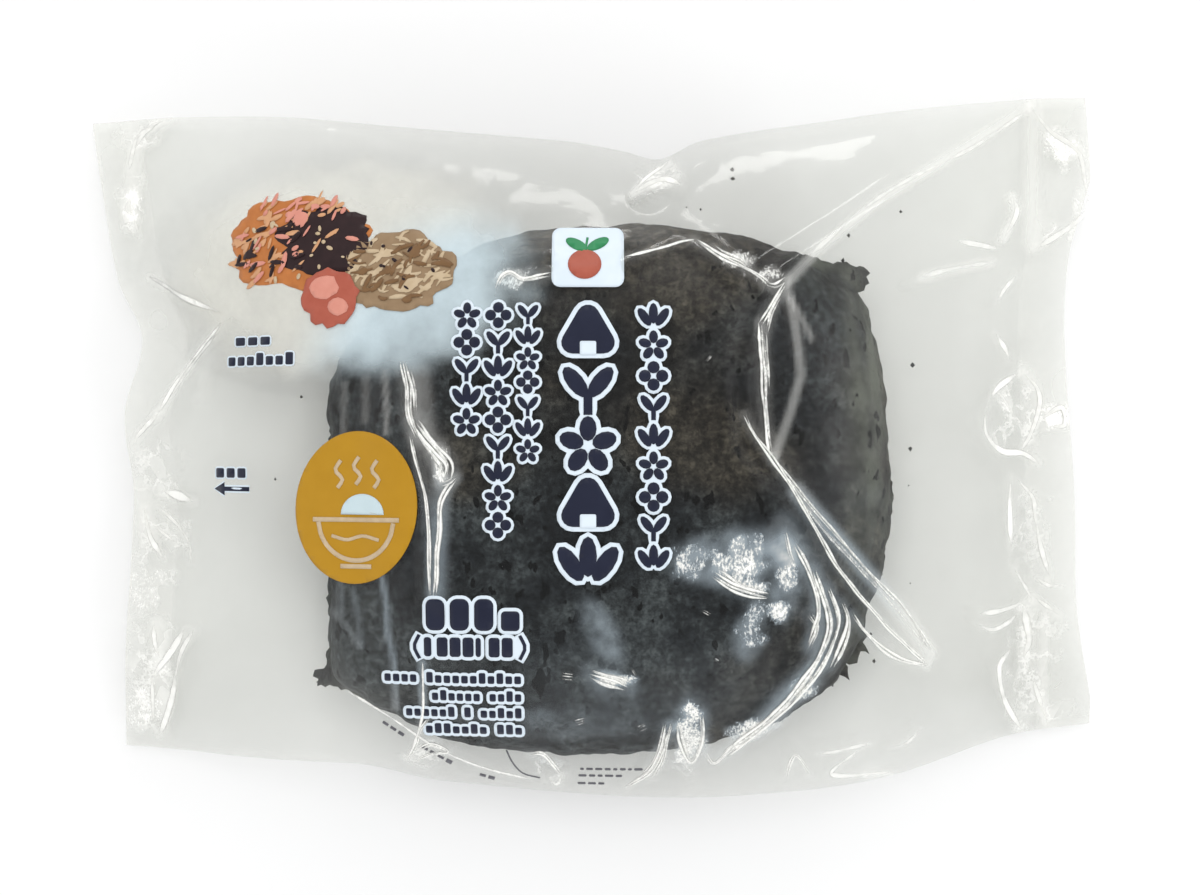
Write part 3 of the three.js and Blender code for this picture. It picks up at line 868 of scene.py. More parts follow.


# Folds: points, width, height and whiteness, which paints a highlight along each.
FOLDS = (
    # over the ball, on its right: a lens of two folds, then long folds to the near right rim
    (((33.9, 27.5), (31.6, 24.0), (29.3, 20.1)), 1.1, 0.6, 0.85),
    (((32.9, 25.2), (31.2, 21.8), (30.3, 18.4)), 0.9, 0.4, 0.55),
    (((29.2, 20.6), (29.6, 14), (29.8, 8), (30.2, 3), (31.2, -2.9)), 1.15, 0.5, 0.80),
    (((30.0, 19), (30.5, 13), (30.6, 9)), 0.9, 0.3, 0.40),
    (((26.4, 4.6), (27.9, 1.5), (31.1, -2.8), (36.8, -11.6), (42.5, -21.4), (53.4, -33.8), (59.7, -39.4)),
     0.9, 0.6, 0.95),
    (((31.4, -3), (38.8, -12), (47.7, -21.9), (55.3, -29.6), (60.8, -37.4)), 0.8, 0.5, 0.45),
    (((35.2, -8.7), (40.2, -15), (47.3, -22.6), (54.9, -30.6), (60.4, -37.4)), 0.9, 0.35, 0.25),
    (((33.3, -15.5), (34, -18.8), (34.7, -20.6)), 1.0, 0.5, 0.85),
    (((35, -17.4), (38.3, -24.1), (39.3, -29.5), (38.6, -31.9), (37.7, -34.8)), 1.1, 0.6, 0.80),
    (((37.6, -29.5), (38.8, -31.9), (37.6, -35.4)), 1.7, 0.6, 0.80),
    (((38.5, -22), (41.3, -31.3), (39.3, -37.8), (35, -43.9), (30.1, -49.1), (23.2, -54.5)), 1.3, 0.6, 0.90),
    (((41.2, -25.2), (43, -31.4), (40.6, -38.2), (36.8, -43.6), (28.8, -51), (23.9, -55.3)), 1.2, 0.6, 0.85),
    (((43.7, -27.8), (44.8, -30.7), (44.5, -33.6), (42.1, -39.3)), 1.2, 0.55, 0.75),
    (((45.6, -30), (47.8, -33), (53.9, -37.9), (59.7, -39.5)), 1.0, 0.5, 0.95),
    (((21.2, -22.6), (24.4, -24.6), (27.4, -25.6), (30.6, -26.4)), 2.2, 0.5, 0.95),
    (((0.2, -39.6), (2.4, -40.3), (4.6, -41.0), (6.6, -42.0)), 2.4, 0.5, 0.95),
    (((7.3, -38.9), (8.0, -40.2)), 1.0, 0.4, 0.80),
    (((-4.8, -40.2), (-2.9, -40.4)), 1.7, 0.4, 1.00),
    (((-2.6, -48.9), (-0.7, -48.2)), 1.5, 0.4, 0.80),
    (((8.4, -50.0), (9.7, -49.2)), 1.5, 0.4, 0.70),
    (((19.3, -28.9), (20.6, -29.6)), 0.8, 0.3, 0.85),
    (((21.4, -37.3), (22.1, -37.8)), 0.9, 0.4, 1.00),
    (((19.9, 13.7), (20.8, 14.9)), 0.7, 0.3, 1.00),
    # along the far rim of the ball
    (((-16.1, 26.3), (-15.1, 28.5), (-13.7, 29.2), (-11.6, 28.1), (-8.7, 28.5), (-6.6, 28.8)),
     1.1, 0.4, 0.85),
    (((5.7, 31.9), (10, 33.0), (13.2, 33.9), (15.9, 34.8), (18.4, 35.2)), 0.6, 0.3, 0.75),
    (((18.0, 35.3), (20.8, 33.4), (23.4, 31.8), (27.9, 29.5), (31, 26.8)), 0.9, 0.4, 0.75),
    (((21.4, 34.0), (23, 32.8), (26.0, 31.4), (27.6, 29.9)), 1.0, 0.5, 0.85),
    (((30.2, 27.2), (32, 26.9), (33.9, 28.0)), 1.3, 0.5, 0.80),
    # over the near rim of the ball
    (((8.9, -59.9), (11, -56.9), (12.3, -53.2), (13, -48.8)), 0.8, 0.5, 0.70),
    (((11.1, -59.9), (12.8, -56.5), (13.4, -52.4), (14.2, -48.8)), 0.8, 0.5, 0.70),
    (((15.4, -49.2), (15.9, -52.4), (17.8, -56.5), (19.5, -52.4), (19.3, -47.3)), 1.2, 0.5, 0.80),
    (((20.3, -54.5), (21.8, -56.5), (23.9, -54.5), (27.4, -51.4), (30.8, -48.3)), 0.9, 0.4, 0.80),
    (((6.2, -62.1), (10.5, -58.9), (12.5, -54.9), (13.6, -49.7)), 1.0, 0.5, 0.70),
    # upright, over the ball's left
    (((-32.2, 14.1), (-31.2, 9.4), (-31.0, 4.7), (-29.4, 0.6)), 1.5, 0.5, 0.90),
    (((-31.0, 12.5), (-30.0, 8.5), (-29.9, 5.2)), 1.0, 0.4, 0.75),
    (((-30.0, 3.2), (-28.2, 0.6), (-26.2, -1.6), (-24.4, -4.0), (-24.8, -6.4)), 2.6, 0.6, 0.90),
    (((-30.8, 1), (-29.9, -2.5), (-28.0, -10.3), (-27.5, -17.1), (-27.4, -26.4)), 0.8, 0.4, 0.85),
    (((-23.1, -6.4), (-24.4, -8.2), (-25.5, -10.8), (-25.9, -17), (-26.4, -26.4)), 1.1, 0.5, 0.95),
    (((-25.5, -7.2), (-24.2, -6.9), (-22.9, -5.9)), 1.1, 0.4, 0.95),
    (((-28.9, -38.1), (-29.2, -47), (-30.3, -51.1), (-32, -55.4)), 0.6, 0.3, 0.70),
    (((-43.2, -43.5), (-35.3, -48.4), (-26.5, -54.6), (-19.1, -58.2), (-10.5, -60.7)), 0.5, 0.2, 0.50),
    # left wing: a bent fold, and the crumpled seal
    (((-82, 30.8), (-79, 29.1), (-75.6, 27), (-72.2, 25.5), (-66.3, 23.2)), 0.8, 0.3, 0.75),
    (((-66.5, 21.4), (-71.7, 16.4), (-76.1, 11.1), (-79.7, 5.2)), 0.6, 0.35, 0.85),
    (((-67.6, 19.6), (-72.6, 14.6), (-77.5, 8.2)), 0.6, 0.3, 0.60),
    (((-79.6, 60.2), (-81.5, 59.4), (-84.7, 56.9), (-85.5, 54.3), (-86.1, 50.7)), 1.0, 0.4, 0.75),
    (((-80.4, 59.8), (-83.7, 57.6), (-85, 55)), 0.8, 0.4, 0.70),
    (((-86.5, 58.2), (-87.7, 56.2), (-86.3, 55.1)), 1.0, 0.3, 0.65),
    (((-85.7, 45.5), (-86.2, 43.5), (-85.1, 42.1)), 1.8, 0.5, 0.95),
    (((-85.1, 42.1), (-84.5, 39.9), (-83.9, 38.1)), 0.8, 0.3, 0.75),
    (((-79.7, 5.2), (-83.3, 1.4), (-84.5, -0.7)), 0.9, 0.4, 0.75),
    (((-79.3, -8.9), (-75.9, -10), (-73.1, -11)), 1.2, 0.4, 0.95),
    (((-80.5, -11.6), (-76, -15.9), (-73.8, -19.1), (-73.8, -22.3)), 0.8, 0.35, 0.75),
    (((-81.2, -15.4), (-78.4, -17.6), (-76.7, -18.7)), 0.6, 0.3, 0.70),
    (((-82.9, -12.2), (-81.8, -17.6), (-79.4, -21.5)), 0.9, 0.4, 0.75),
    (((-80.9, -33.3), (-80.6, -37.1), (-79.8, -39.8)), 0.7, 0.3, 0.70),
    (((-74.8, -34.6), (-77.5, -38.7), (-81.9, -44.3)), 0.9, 0.4, 0.80),
    (((-72.8, -34.5), (-75.5, -39), (-77.9, -48.1), (-80.5, -54.9)), 1.0, 0.4, 0.75),
    (((-81.3, -42.6), (-81.5, -52.2)), 0.7, 0.3, 0.75),
    # near side, left of the middle
    (((-27.9, -47.8), (-29.8, -50.7), (-30.8, -53.6), (-32.9, -57.2)), 0.9, 0.4, 0.75),
    (((-31, -55.1), (-28.2, -53.5), (-25.3, -54.9), (-28.4, -55.5), (-31.6, -57.2)), 0.8, 0.4, 0.85),
    (((-11, -55.1), (-8.4, -55.1), (-6.3, -57.6), (-5.1, -59.6)), 1.1, 0.4, 0.80),
    (((-5.1, -59.6), (-6, -61.6), (-7.7, -60.2)), 1.0, 0.4, 0.90),
    # far side
    (((7.6, 43.9), (9.8, 47), (14.2, 50.6)), 0.7, 0.4, 0.80),
    (((14.8, 50.6), (15.7, 47.7)), 0.6, 0.3, 0.60),
    (((8, 44.1), (10.2, 45.8), (13.1, 46.8), (16, 45.7)), 1.4, 0.5, 0.90),
    # right wing and its seal
    (((38.2, 32.5), (52.1, 43.9), (70, 53.9), (81.7, 62)), 0.6, 0.3, 0.40),
    (((82.3, 62.8), (85.8, 58.3), (91, 54.3), (92, 48.1), (92.2, 43.5), (89.5, 40.4), (85, 37.4),
      (82.5, 35.9)), 0.9, 0.35, 0.55),
    (((77.6, 45.3), (78.5, 42.4), (75.7, 37.3)), 0.9, 0.4, 0.60),
    (((58.5, 29), (63.6, 30.7), (73.2, 32.8)), 0.7, 0.25, 0.40),
    (((65.8, 36.1), (74.8, 35.3)), 0.8, 0.3, 0.45),
    (((78.8, 30.9), (76.4, 28.3), (74.6, 25.7)), 0.7, 0.3, 0.65),
    (((74.4, 20), (76.4, 17.4), (77.4, 15.4)), 0.8, 0.3, 0.65),
    (((79.1, 12.8), (74.1, 9.4), (71.4, 5.2), (71.6, 1.5), (75.1, -1.6), (79.7, -2.1), (82.7, -4)),
     0.9, 0.35, 0.75),
    (((80.3, 12.8), (82.7, 10.1), (83.1, 6.9), (81, 1.1), (79.1, -1.6)), 0.9, 0.35, 0.75),
    (((74.5, 9.4), (76.1, 7.4), (78, 4.2)), 1.2, 0.35, 0.75),
    (((83.2, 4.3), (87.2, 6.4), (87.6, 3.2), (84.2, 2.9)), 1.0, 0.4, 0.85),
    (((76.9, -5.8), (76.6, -11), (77.1, -19.4)), 0.9, 0.35, 0.75),
    (((78.3, -6.8), (81.4, -10.1), (82, -13.8), (83.3, -19.6), (85.1, -25)), 0.8, 0.3, 0.65),
    (((77.9, -23.2), (80.7, -27.1), (82, -29.3)), 0.8, 0.3, 0.65),
    (((82.4, -25), (85.1, -26.6), (87.3, -26.6)), 0.6, 0.3, 0.65),
    (((70.2, -31), (74.7, -30.9), (80.1, -29.8)), 0.8, 0.3, 0.55),
    (((70.2, -33.1), (73.4, -34.2), (76.7, -33.2), (78.7, -31.8)), 0.8, 0.3, 0.65),
    (((82.5, -28.8), (84.7, -30.4), (86.9, -32)), 1.0, 0.35, 0.75),
    (((80.1, -30.3), (81.5, -36.8), (80.1, -39.8)), 1.2, 0.35, 0.60),
    (((77.4, -38), (74.7, -41.3), (76.2, -47.4), (80.8, -54.2)), 0.9, 0.35, 0.65),
    (((82, -43.2), (83.9, -48.7), (85.7, -53.2)), 1.0, 0.35, 0.70),
    # near side, right of the ball
    (((34.9, -60.2), (36.4, -55.6), (39.7, -60)), 0.7, 0.3, 0.60),
    (((40.4, -55.4), (43.7, -55.1), (50, -53.7)), 0.7, 0.3, 0.50),
    (((53.9, -54.7), (57, -54.1), (59.1, -51.8)), 0.8, 0.3, 0.75),
    (((48.5, -54.4), (43.4, -59.7), (55, -59.9)), 0.7, 0.3, 0.60),
)

# Folds whose middle lies within this share of the ball's size count as over it and have fine strands.
BALL_NEIGHBOURHOOD = 1.12
WIDE_STRAND = 0.65
STRAND_SHARES = (1.0, 0.55, 0.85, 0.45)
STRAND_SPREAD = 1.35
# How white the folds' painted highlights are, as a share of their listed whiteness.
FOLD_WHITENESS = 1.15

# The two kinds of fold: widening, share of the height, unevenness and graininess, a fine bump with painted
# glints.
FINE_STRANDS = (1.05, 1.0, (0.5, 0.7), 0.4)
SOFT_FOLD = (1.1, 0.2, (1.1, 0.45), 0.0)


def make_folds():
    """All sharp folds of the face film as one piece: fine strands over the ball, soft ones beside it."""
    meshes = []
    whiteness = []
    grain_and_glints = []
    for number, (chain, width, height, white) in enumerate(FOLDS):
        over_ball = ball_share(*chain[len(chain) // 2]) < BALL_NEIGHBOURHOOD
        strands = math.ceil(width / WIDE_STRAND) if over_ball else 1
        widening, height_share, unevenness, graininess = FINE_STRANDS if over_ball else SOFT_FOLD
        for strand in range(strands):
            shift = STRAND_SPREAD * width * ((strand + 0.5) / strands - 0.5)
            share = STRAND_SHARES[(number + strand) % len(STRAND_SHARES)] if strands > 1 else 1.0
            points, faces, strength = fold_mesh(chain, widening * width / strands, height_share * height,
                                                shift, unevenness, seed=number + 0.37 * strand)
            meshes.append((points, faces))
            whiteness.append(FOLD_WHITENESS * white * strength * share)
            grain_and_glints.append(np.full(len(points), graininess))
    points, faces = join_meshes(meshes)
    folds = make_object("film_folds", points, faces, FOLDED_FILM)
    # The folds' whiteness: whitened film with painted highlights.
    haze_and_painted_light = np.clip(np.concatenate(whiteness), 0, 1)
    add_attribute(folds, "haze_and_painted_light", haze_and_painted_light)
    add_attribute(folds, "grain_and_glints", np.concatenate(grain_and_glints) * np.minimum(1, 3 * haze_and_painted_light))
    for name in ("crease", "cool", "painted_shade"):
        add_attribute(folds, name, np.zeros(len(points)))
    return finish_piece(folds)


# ------------------------------------------------------------------ rice ball

def box_shell(*cells):
    """Points and faces of a box's outside cut into a lattice, with coordinates from -1 to 1."""
    index = {}
    faces = []
    for across, along, upright in ((0, 1, 2), (2, 0, 1), (1, 2, 0)):
        for level in (cells[upright], 0):
            for i in range(cells[across]):
                for j in range(cells[along]):
                    face = []
                    for a, b in ((i, j), (i + 1, j), (i + 1, j + 1), (i, j + 1)):
                        corner = [0, 0, 0]
                        corner[across], corner[along], corner[upright] = a, b, level
                        face.append(index.setdefault(tuple(corner), len(index)))
                    faces.append(face if level else face[:1] + face[:0:-1])
    lattice = np.array(list(index), float)
    return lattice / np.array(cells) * 2 - 1, faces


# The wrapped ball's uneven outline from above, anticlockwise from the right.
BALL_OUTLINE = (
    (54.5, -3.2), (53.6, 7.6), (51.9, 18.4), (49.4, 25.8), (45, 31), (38, 33.9), (30.6, 36.4),
    (19.8, 38.7), (9, 39.7), (-5.5, 39.0), (-14.5, 37.4), (-30.7, 30), (-41.5, 20.2), (-47.2, 11.2),
    (-47.4, -5), (-47, -21.2), (-47.4, -35.6), (-46.2, -42.4), (-40.5, -46.6), (-34.2, -50.3),
    (-25.2, -54.2), (-12.6, -56.4), (1.8, -56.9), (16.2, -55.8), (27, -52.8), (35.6, -49.8), (42.4, -45.2),
    (47.8, -38.2), (51.4, -28.2), (54.4, -14),
)


def outline_growth(direction):
    """How far the ball's outline stands out beyond its rounded plan, by direction in degrees."""
    from_centre = np.array(BALL_OUTLINE) - BALL_CENTRE
    heading = np.degrees(np.arctan2(from_centre[:, 1], from_centre[:, 0])) % 360
    growth = ball_share(*np.array(BALL_OUTLINE).T)
    order = np.argsort(heading)
    heading, growth = heading[order], growth[order]
    pairs = [(heading[-1] - 360, growth[-1]), *zip(heading, growth), (heading[0] + 360, growth[0])]
    return read_curve(pairs, direction)


# Pleats in the seaweed over the ball: points, height and reach.
SEAWEED_PLEATS = (
    (((36, 33), (40, 20), (42, 6), (40, -8), (43, -22)), 0.55, 2.6),
    (((45, 25), (48.5, 12), (46.5, -2), (49, -14), (46, -28)), 0.6, 2.4),
    (((38, 30), (44, 20), (45, 8)), 0.45, 1.8),
    (((30, 38), (20, 36), (6, 37), (-10, 35)), 0.5, 2.4),
    (((-44, 14), (-43, -4), (-44, -30)), 0.5, 2.0),
    (((-39, 12), (-38, -8), (-39, -36)), 0.35, 1.6),
    (((-40, -42), (-28, -47), (-14, -50)), 0.5, 2.2),
    (((26, -46), (36, -40), (43, -32)), 0.5, 2.2),
)


GRAIN_LENGTH = 5.5
GRAIN_SLIMNESS = 0.6


def grain_relief(points):
    """Rounded bumps of rice grains that show through: 0 between them, 1 on their tops."""
    relief = np.empty(len(points))
    for n, (x, y, z) in enumerate(points):
        place = Vector((x / GRAIN_LENGTH, y / (GRAIN_SLIMNESS * GRAIN_LENGTH), z / GRAIN_LENGTH))
        nearest = noise.voronoi(place)[0][0]
        relief[n] = 1 - min(1.0, nearest * 1.3)
    return relief


def rounded_slab(unit):
    """The ball's smooth form round the origin, from points on a box's outside."""
    across, along, up = np.abs(unit).T
    plan = (across**BALL_PLAN_POWER + along**BALL_PLAN_POWER) ** (1 / BALL_PLAN_POWER)
    rim_power = np.where(unit[:, 2] > 0, BALL_RIM_POWER, BALL_BACK_RIM_POWER)
    size = (plan**rim_power + up**2) ** (1 / rim_power)
    fall = up / (plan**rim_power + up**2) ** 0.5
    return np.stack([
        unit[:, 0] / size * BALL_HALF_LENGTH,
        unit[:, 1] / size * BALL_HALF_WIDTH,
        np.sign(unit[:, 2]) * fall * (BALL_THICKNESS / 2),
    ], 1)


def seaweed_relief(points, radius):
    """Lumps and grains of rice under the sheet, its wrinkles on the rim and its pleats on the face."""
    lumps = 0.45 * noise_at(points, 13) + 0.14 * noise_at(points, 4.2, 7.0)
    upright = points * np.array([1, 1, 0.25])
    wrinkles = 0.6 * noise_at(upright, 4.5, 3.0) + 0.25 * noise_at(points, 1.8, 13.0)
    relief = lumps + smooth(radius, 38, 48) * wrinkles + 0.16 * grain_relief(points)
    placed_x, placed_y = points[:, 0] + BALL_CENTRE[0], points[:, 1] + BALL_CENTRE[1]
    for chain, height, reach in SEAWEED_PLEATS:
        flank = np.maximum(0, 1 - chain_distance(placed_x, placed_y, chain) / reach)
        relief += np.where(points[:, 2] > 0, height * flank, 0)
    return relief


def seaweed_paleness(points):
    """0 for dark seaweed, up to 1 for pale olive: in streaks and patches, most along the right rim."""
    x, y, z = points.T
    right_band = smooth(x, 42, 49) * (1 - 0.6 * smooth(-y, 5, 25)) * smooth(z, 12, 22)
    far_corner = 0.25 * smooth(x, 32, 38) * smooth(y, 19, 27)
    left_band = 0.1 * smooth(-x, 32, 44)
    streaks = 0.45 + 0.7 * noise_at(points * np.array([1, 0.2, 0.3]), 2.6, 11.0)
    patches = 0.30 + 0.5 * noise_at(points, 7.5, 21.0) + 0.2 * noise_at(points, 2.6, 31.0)
    return np.clip((np.maximum(right_band, far_corner) + left_band) * (streaks + patches), 0, 1)


BALL_CELLS = (150, 142, 56)
RELIEF_SINK = 0.75
BALL_LIFT = 0.15
FILM_CLEARANCE = 0.3


def make_rice_ball():
    """The rice ball in its seaweed: a rounded slab with the lumps and grains of rice under it."""
    unit, faces = box_shell(*BALL_CELLS)
    points = rounded_slab(unit)
    direction = np.degrees(np.arctan2(points[:, 1], points[:, 0])) % 360
    radius = np.hypot(points[:, 0], points[:, 1])
    growth = mix(1, outline_growth(direction), smooth(radius, 30, 50))
    points[:, :2] *= growth[:, None]

    outward = points / np.array([BALL_HALF_LENGTH, BALL_HALF_WIDTH, BALL_THICKNESS / 2])
    outward = np.sign(outward) * np.abs(outward) ** 2.2
    outward /= np.linalg.norm(outward, axis=1)[:, None]
    points += outward * (seaweed_relief(points, radius) - RELIEF_SINK)[:, None]
    points += np.array([*BALL_CENTRE, BALL_THICKNESS / 2 + BALL_LIFT])
    x, y = points[:, 0], points[:, 1]
    lowest = back_height(x, y) + FILM_CLEARANCE
    highest = face_height(x, y) - FILM_CLEARANCE
    points[:, 2] = np.clip(points[:, 2], lowest, highest)

    ball = make_object("seaweed_wrapped_rice", points, faces, SEAWEED)
    add_attribute(ball, "olive", seaweed_paleness(points))
    add_attribute(ball, "slate", smooth(-y, 2, 26))
    return finish_piece(ball)


# Loose edges of the seaweed sheet: outline in plan, height at its middle and how it tilts outwards.
SEAWEED_FLAPS = (
    (((34, 32.6), (38, 33.2), (43.1, 31.6), (45.6, 32.1), (47.4, 31.2), (48.9, 31.3), (50.1, 30.2),
      (49.3, 29.5), (49.8, 28.3), (47.9, 26.6), (45.8, 27.0), (44.4, 25.0), (41, 25.5), (37, 27)),
     25.0, -0.10),
    (((-42, -37), (-47.6, -36.6), (-47.9, -39.6), (-48.5, -41.2), (-50.1, -41.4), (-50.4, -42.5),
      (-49.4, -43), (-49.6, -44.3), (-47.4, -44.1), (-43.2, -45.8), (-36, -49.1), (-33, -47)), 12.0, 0.02),
    (((43, -34), (48.4, -33), (50.4, -35.4), (49.6, -36.4), (50.8, -38.6), (49.2, -38.1), (48.6, -40.2),
      (46.4, -40.2), (47.2, -43.4), (45.4, -42.4), (44.2, -44.6), (42.8, -43.6), (40, -41)), 12.0, 0.03),
    (((33, -43), (41, -41), (43.2, -44.2), (40.6, -45.6), (37.8, -46), (34, -47.6), (30, -47)), 10.0, 0.03),
    (((46, 22), (50.6, 19), (52.2, 12.5), (51.6, 8.4), (52.6, 4), (53, -2), (54.2, -8), (54.3, -12.5),
      (52.8, -15.6), (53, -20.6), (51.6, -26), (47, -26), (48.6, -10), (48.6, 6)), 17.5, 0.0),
    (((-44, 8), (-46.7, 8.6), (-47.4, 2), (-47, -6), (-47.5, -14), (-47.1, -22), (-47.7, -29), (-47, -35),
      (-44, -34), (-44.6, -14)), 14.0, 0.0),
)
SHEET_THICKNESS = 0.22
SHEET_CLEARANCE = 1.0
TILT_START = 45


def flap_height(middle, tilt):
    """Height of a loose sheet edge over the plan, kept under the film."""
    def height(x, y):
        out = np.hypot(x - BALL_CENTRE[0], y - BALL_CENTRE[1]) - TILT_START
        curl = 0.5 * plan_noise(x, y, 4.0, middle)
        return np.minimum(middle + tilt * out**2 / 4 + curl, face_height(x, y) - SHEET_CLEARANCE)
    return height


def make_flaps():
    """Torn corners and frayed edges of the seaweed sheet that stand out from the ball."""
    flaps = []
    for number, (outline, middle, tilt) in enumerate(SEAWEED_FLAPS):
        ragged = ragged_outline(outline, 0.35, 0.7, seed=number)
        points, faces = decal_mesh([ragged], 0.0, 1.0, flap_height(middle, tilt), SHEET_THICKNESS)
        flaps.append((points, faces))
    points, faces = join_meshes(flaps)
    piece = make_object("seaweed_flaps", points, faces, SEAWEED)
    add_attribute(piece, "olive", np.clip(0.45 + 1.1 * noise_at(points, 3.0), 0, 1))
    return finish_piece(piece)


def ragged_outline(outline, depth, step, seed):
    """An outline with its straight pieces cut up and jogged at random."""
    draw = random.Random(seed)
    ragged = []
    for (ax, ay), (bx, by) in zip(outline, [*outline[1:], outline[0]]):
        length = math.hypot(bx - ax, by - ay)
        pieces = max(1, int(length / step))
        for k in range(pieces):
            jog = draw.uniform(-depth, depth) if k else 0.0
            t = k / pieces
            x = mix(ax, bx, t) - (by - ay) / length * jog
            y = mix(ay, by, t) + (bx - ax) / length * jog
            ragged.append((x, y))
    return ragged


def join_meshes(meshes):
    """Several (points, faces) meshes as one."""
    start = 0
    all_faces = []
    for points, faces in meshes:
        all_faces += [tuple(corner + start for corner in face) for face in faces]
        start += len(points)
    return np.concatenate([points for points, _ in meshes]), all_faces


# Crumbs: the places of the first ones, how many in all, the corners of one and its height over the back film.
CRUMB_SPOTS = ((57.6, 42.8), (48.2, 38.6), (17.8, 43.5), (20.4, 43.2), (33.5, -49.5), (35.8, -49.4),
               (30.8, -49.9), (37.5, -48.9), (52.5, -36), (-50.5, -44.5))
CRUMB_COUNT = 28
CRUMB_CORNERS = ((1, 0, 0), (0, 1, 0), (-1, 0, 0), (0, -1, 0), (0, 0, 0.6), (0, 0, -0.6))
CRUMB_LIFT = 0.35


def crumb_mesh(draw, x, y):
    """One crumb on the back film: an uneven double pyramid."""
    radius = draw.uniform(0.15, 0.5)
    middle = np.array([x, y, float(back_height(x, y)) + CRUMB_LIFT])
    corners = [middle + radius * draw.uniform(0.5, 1.3) * np.array(corner) for corner in CRUMB_CORNERS]
    faces = []
    for k in range(4):
        faces += [(k, (k + 1) % 4, 4), ((k + 1) % 4, k, 5)]
    return np.array(corners), faces


def make_crumbs():
    """Crumbs of seaweed that lie in the pack beside the ball."""
    draw = random.Random(8)
    spots = list(CRUMB_SPOTS)
    while len(spots) < CRUMB_COUNT:
        heading = draw.uniform(0, 2 * math.pi)
        reach = draw.uniform(1.04, 1.30)
        x = BALL_CENTRE[0] + reach * BALL_HALF_LENGTH * math.cos(heading)
        y = BALL_CENTRE[1] + reach * BALL_HALF_WIDTH * math.sin(heading)
        if from_sides(x, y) > 4:
            spots.append((x, y))
    points, faces = join_meshes([crumb_mesh(draw, x, y) for x, y in spots])
    piece = make_object("seaweed_crumbs", points, faces, SEAWEED, smooth_shading=False)
    add_attribute(piece, "olive", np.zeros(len(points)))
    return finish_piece(piece)


# ------------------------------------------------------------------ print on the film

def rounded_box(x0, y0, x1, y1, radius, corner_points=5):
    """Outline of a box with round corners."""
    outline = []
    for cx, cy, start in ((x1 - radius, y1 - radius, 0), (x0 + radius, y1 - radius, 90),
                          (x0 + radius, y0 + radius, 180), (x1 - radius, y0 + radius, 270)):
        headings = [start + 90 * k / (corner_points - 1) for k in range(corner_points)]
        outline += arc(cx, cy, radius, radius, headings)
    return outline


def arc(cx, cy, half_x, half_y, headings):
    """Points on an ellipse, by heading in degrees."""
    angles = [math.radians(heading) for heading in headings]
    return [(cx + half_x * math.cos(angle), cy + half_y * math.sin(angle)) for angle in angles]


def ellipse(cx, cy, half_x, half_y, turn=0.0, count=18):
    """Outline of an ellipse turned by an angle in degrees."""
    turn = math.radians(turn)
    outline = []
    for k in range(count):
        angle = 2 * math.pi * k / count
        across, along = half_x * math.cos(angle), half_y * math.sin(angle)
        outline.append((cx + across * math.cos(turn) - along * math.sin(turn),
                        cy + across * math.sin(turn) + along * math.cos(turn)))
    return outline


def blob(cx, cy, half_x, half_y, roughness, seed, count=56):
    """Outline of an uneven heap."""
    outline = []
    for k in range(count):
        angle = 2 * math.pi * k / count
        wave = noise.noise(Vector((2.2 * math.cos(angle), 2.2 * math.sin(angle), seed)))
        fine = noise.noise(Vector((8 * math.cos(angle), 8 * math.sin(angle), seed + 5)))
        reach = 1 + roughness * (wave + 0.4 * fine)
        outline.append((cx + half_x * reach * math.cos(angle), cy + half_y * reach * math.sin(angle)))
    return outline


def stroke(points, width, taper=0.0):
    """Outline of a drawn line through a few points, narrower at its ends by the share `taper`."""
    x, y, share = smooth_chain(points, step=0.7)
    dx, dy = np.gradient(x), np.gradient(y)
    length = np.hypot(dx, dy)
    half = width / 2 * (1 - taper * np.abs(2 * share - 1) ** 2)
    left = list(zip(x - dy / length * half, y + dx / length * half))
    right = list(zip(x + dy / length * half, y - dx / length * half))
    return left + right[::-1]


def grown(outline, margin):
    """An outline moved outwards by a margin."""
    points = np.array(outline)
    along = np.roll(points, -1, axis=0) - np.roll(points, 1, axis=0)
    along /= np.linalg.norm(along, axis=1)[:, None] + 1e-9
    area = np.sum(points[:, 0] * np.roll(points[:, 1], -1) - np.roll(points[:, 0], -1) * points[:, 1])
    outward = np.column_stack([along[:, 1], -along[:, 0]]) * np.sign(area)
    return [tuple(p) for p in points + margin * outward]


INK_THICKNESS = 0.04


def decal_mesh(outlines, lift, spacing=1.1, surface=face_height, thickness=INK_THICKNESS):
    """Thin closed patches over a surface, joined where they overlap: their points and faces."""
    corners = []
    rings = []
    for outline in outlines:
        rings.append(list(range(len(corners), len(corners) + len(outline))))
        corners += [Vector(p) for p in outline]
    edges = [(a, b) for ring in rings for a, b in zip(ring, ring[1:] + ring[:1])]
    low = np.min([p[:] for p in corners], axis=0)
    high = np.max([p[:] for p in corners], axis=0)
    inner = []
    for px in np.arange(low[0] + spacing / 2, high[0], spacing):
        for py in np.arange(low[1] + spacing / 2, high[1], spacing):
            inner.append(Vector((px, py)))
    result = delaunay_2d_cdt(corners + inner, edges, rings, 1, 1e-5)
    flat = np.array([tuple(p) for p in result[0]])
    triangles = np.array([tuple(t) for t in result[2]])
    used = np.unique(triangles)
    renumber = np.full(len(flat), -1)
    renumber[used] = np.arange(len(used))
    flat = flat[used]
    triangles = renumber[triangles]
    z = surface(flat[:, 0], flat[:, 1]) + lift
    size = len(flat)
    points = np.concatenate([np.column_stack([flat, z]), np.column_stack([flat, z + thickness])])
    faces = [(size + a, size + b, size + c) for a, b, c in triangles]
    faces += [(c, b, a) for a, b, c in triangles]
    edge_use = {(a, b) for t in triangles.tolist() for a, b in ((t[0], t[1]), (t[1], t[2]), (t[2], t[0]))}
    faces += [(a, b, size + b, size + a) for a, b in edge_use if (b, a) not in edge_use]
    return points, faces


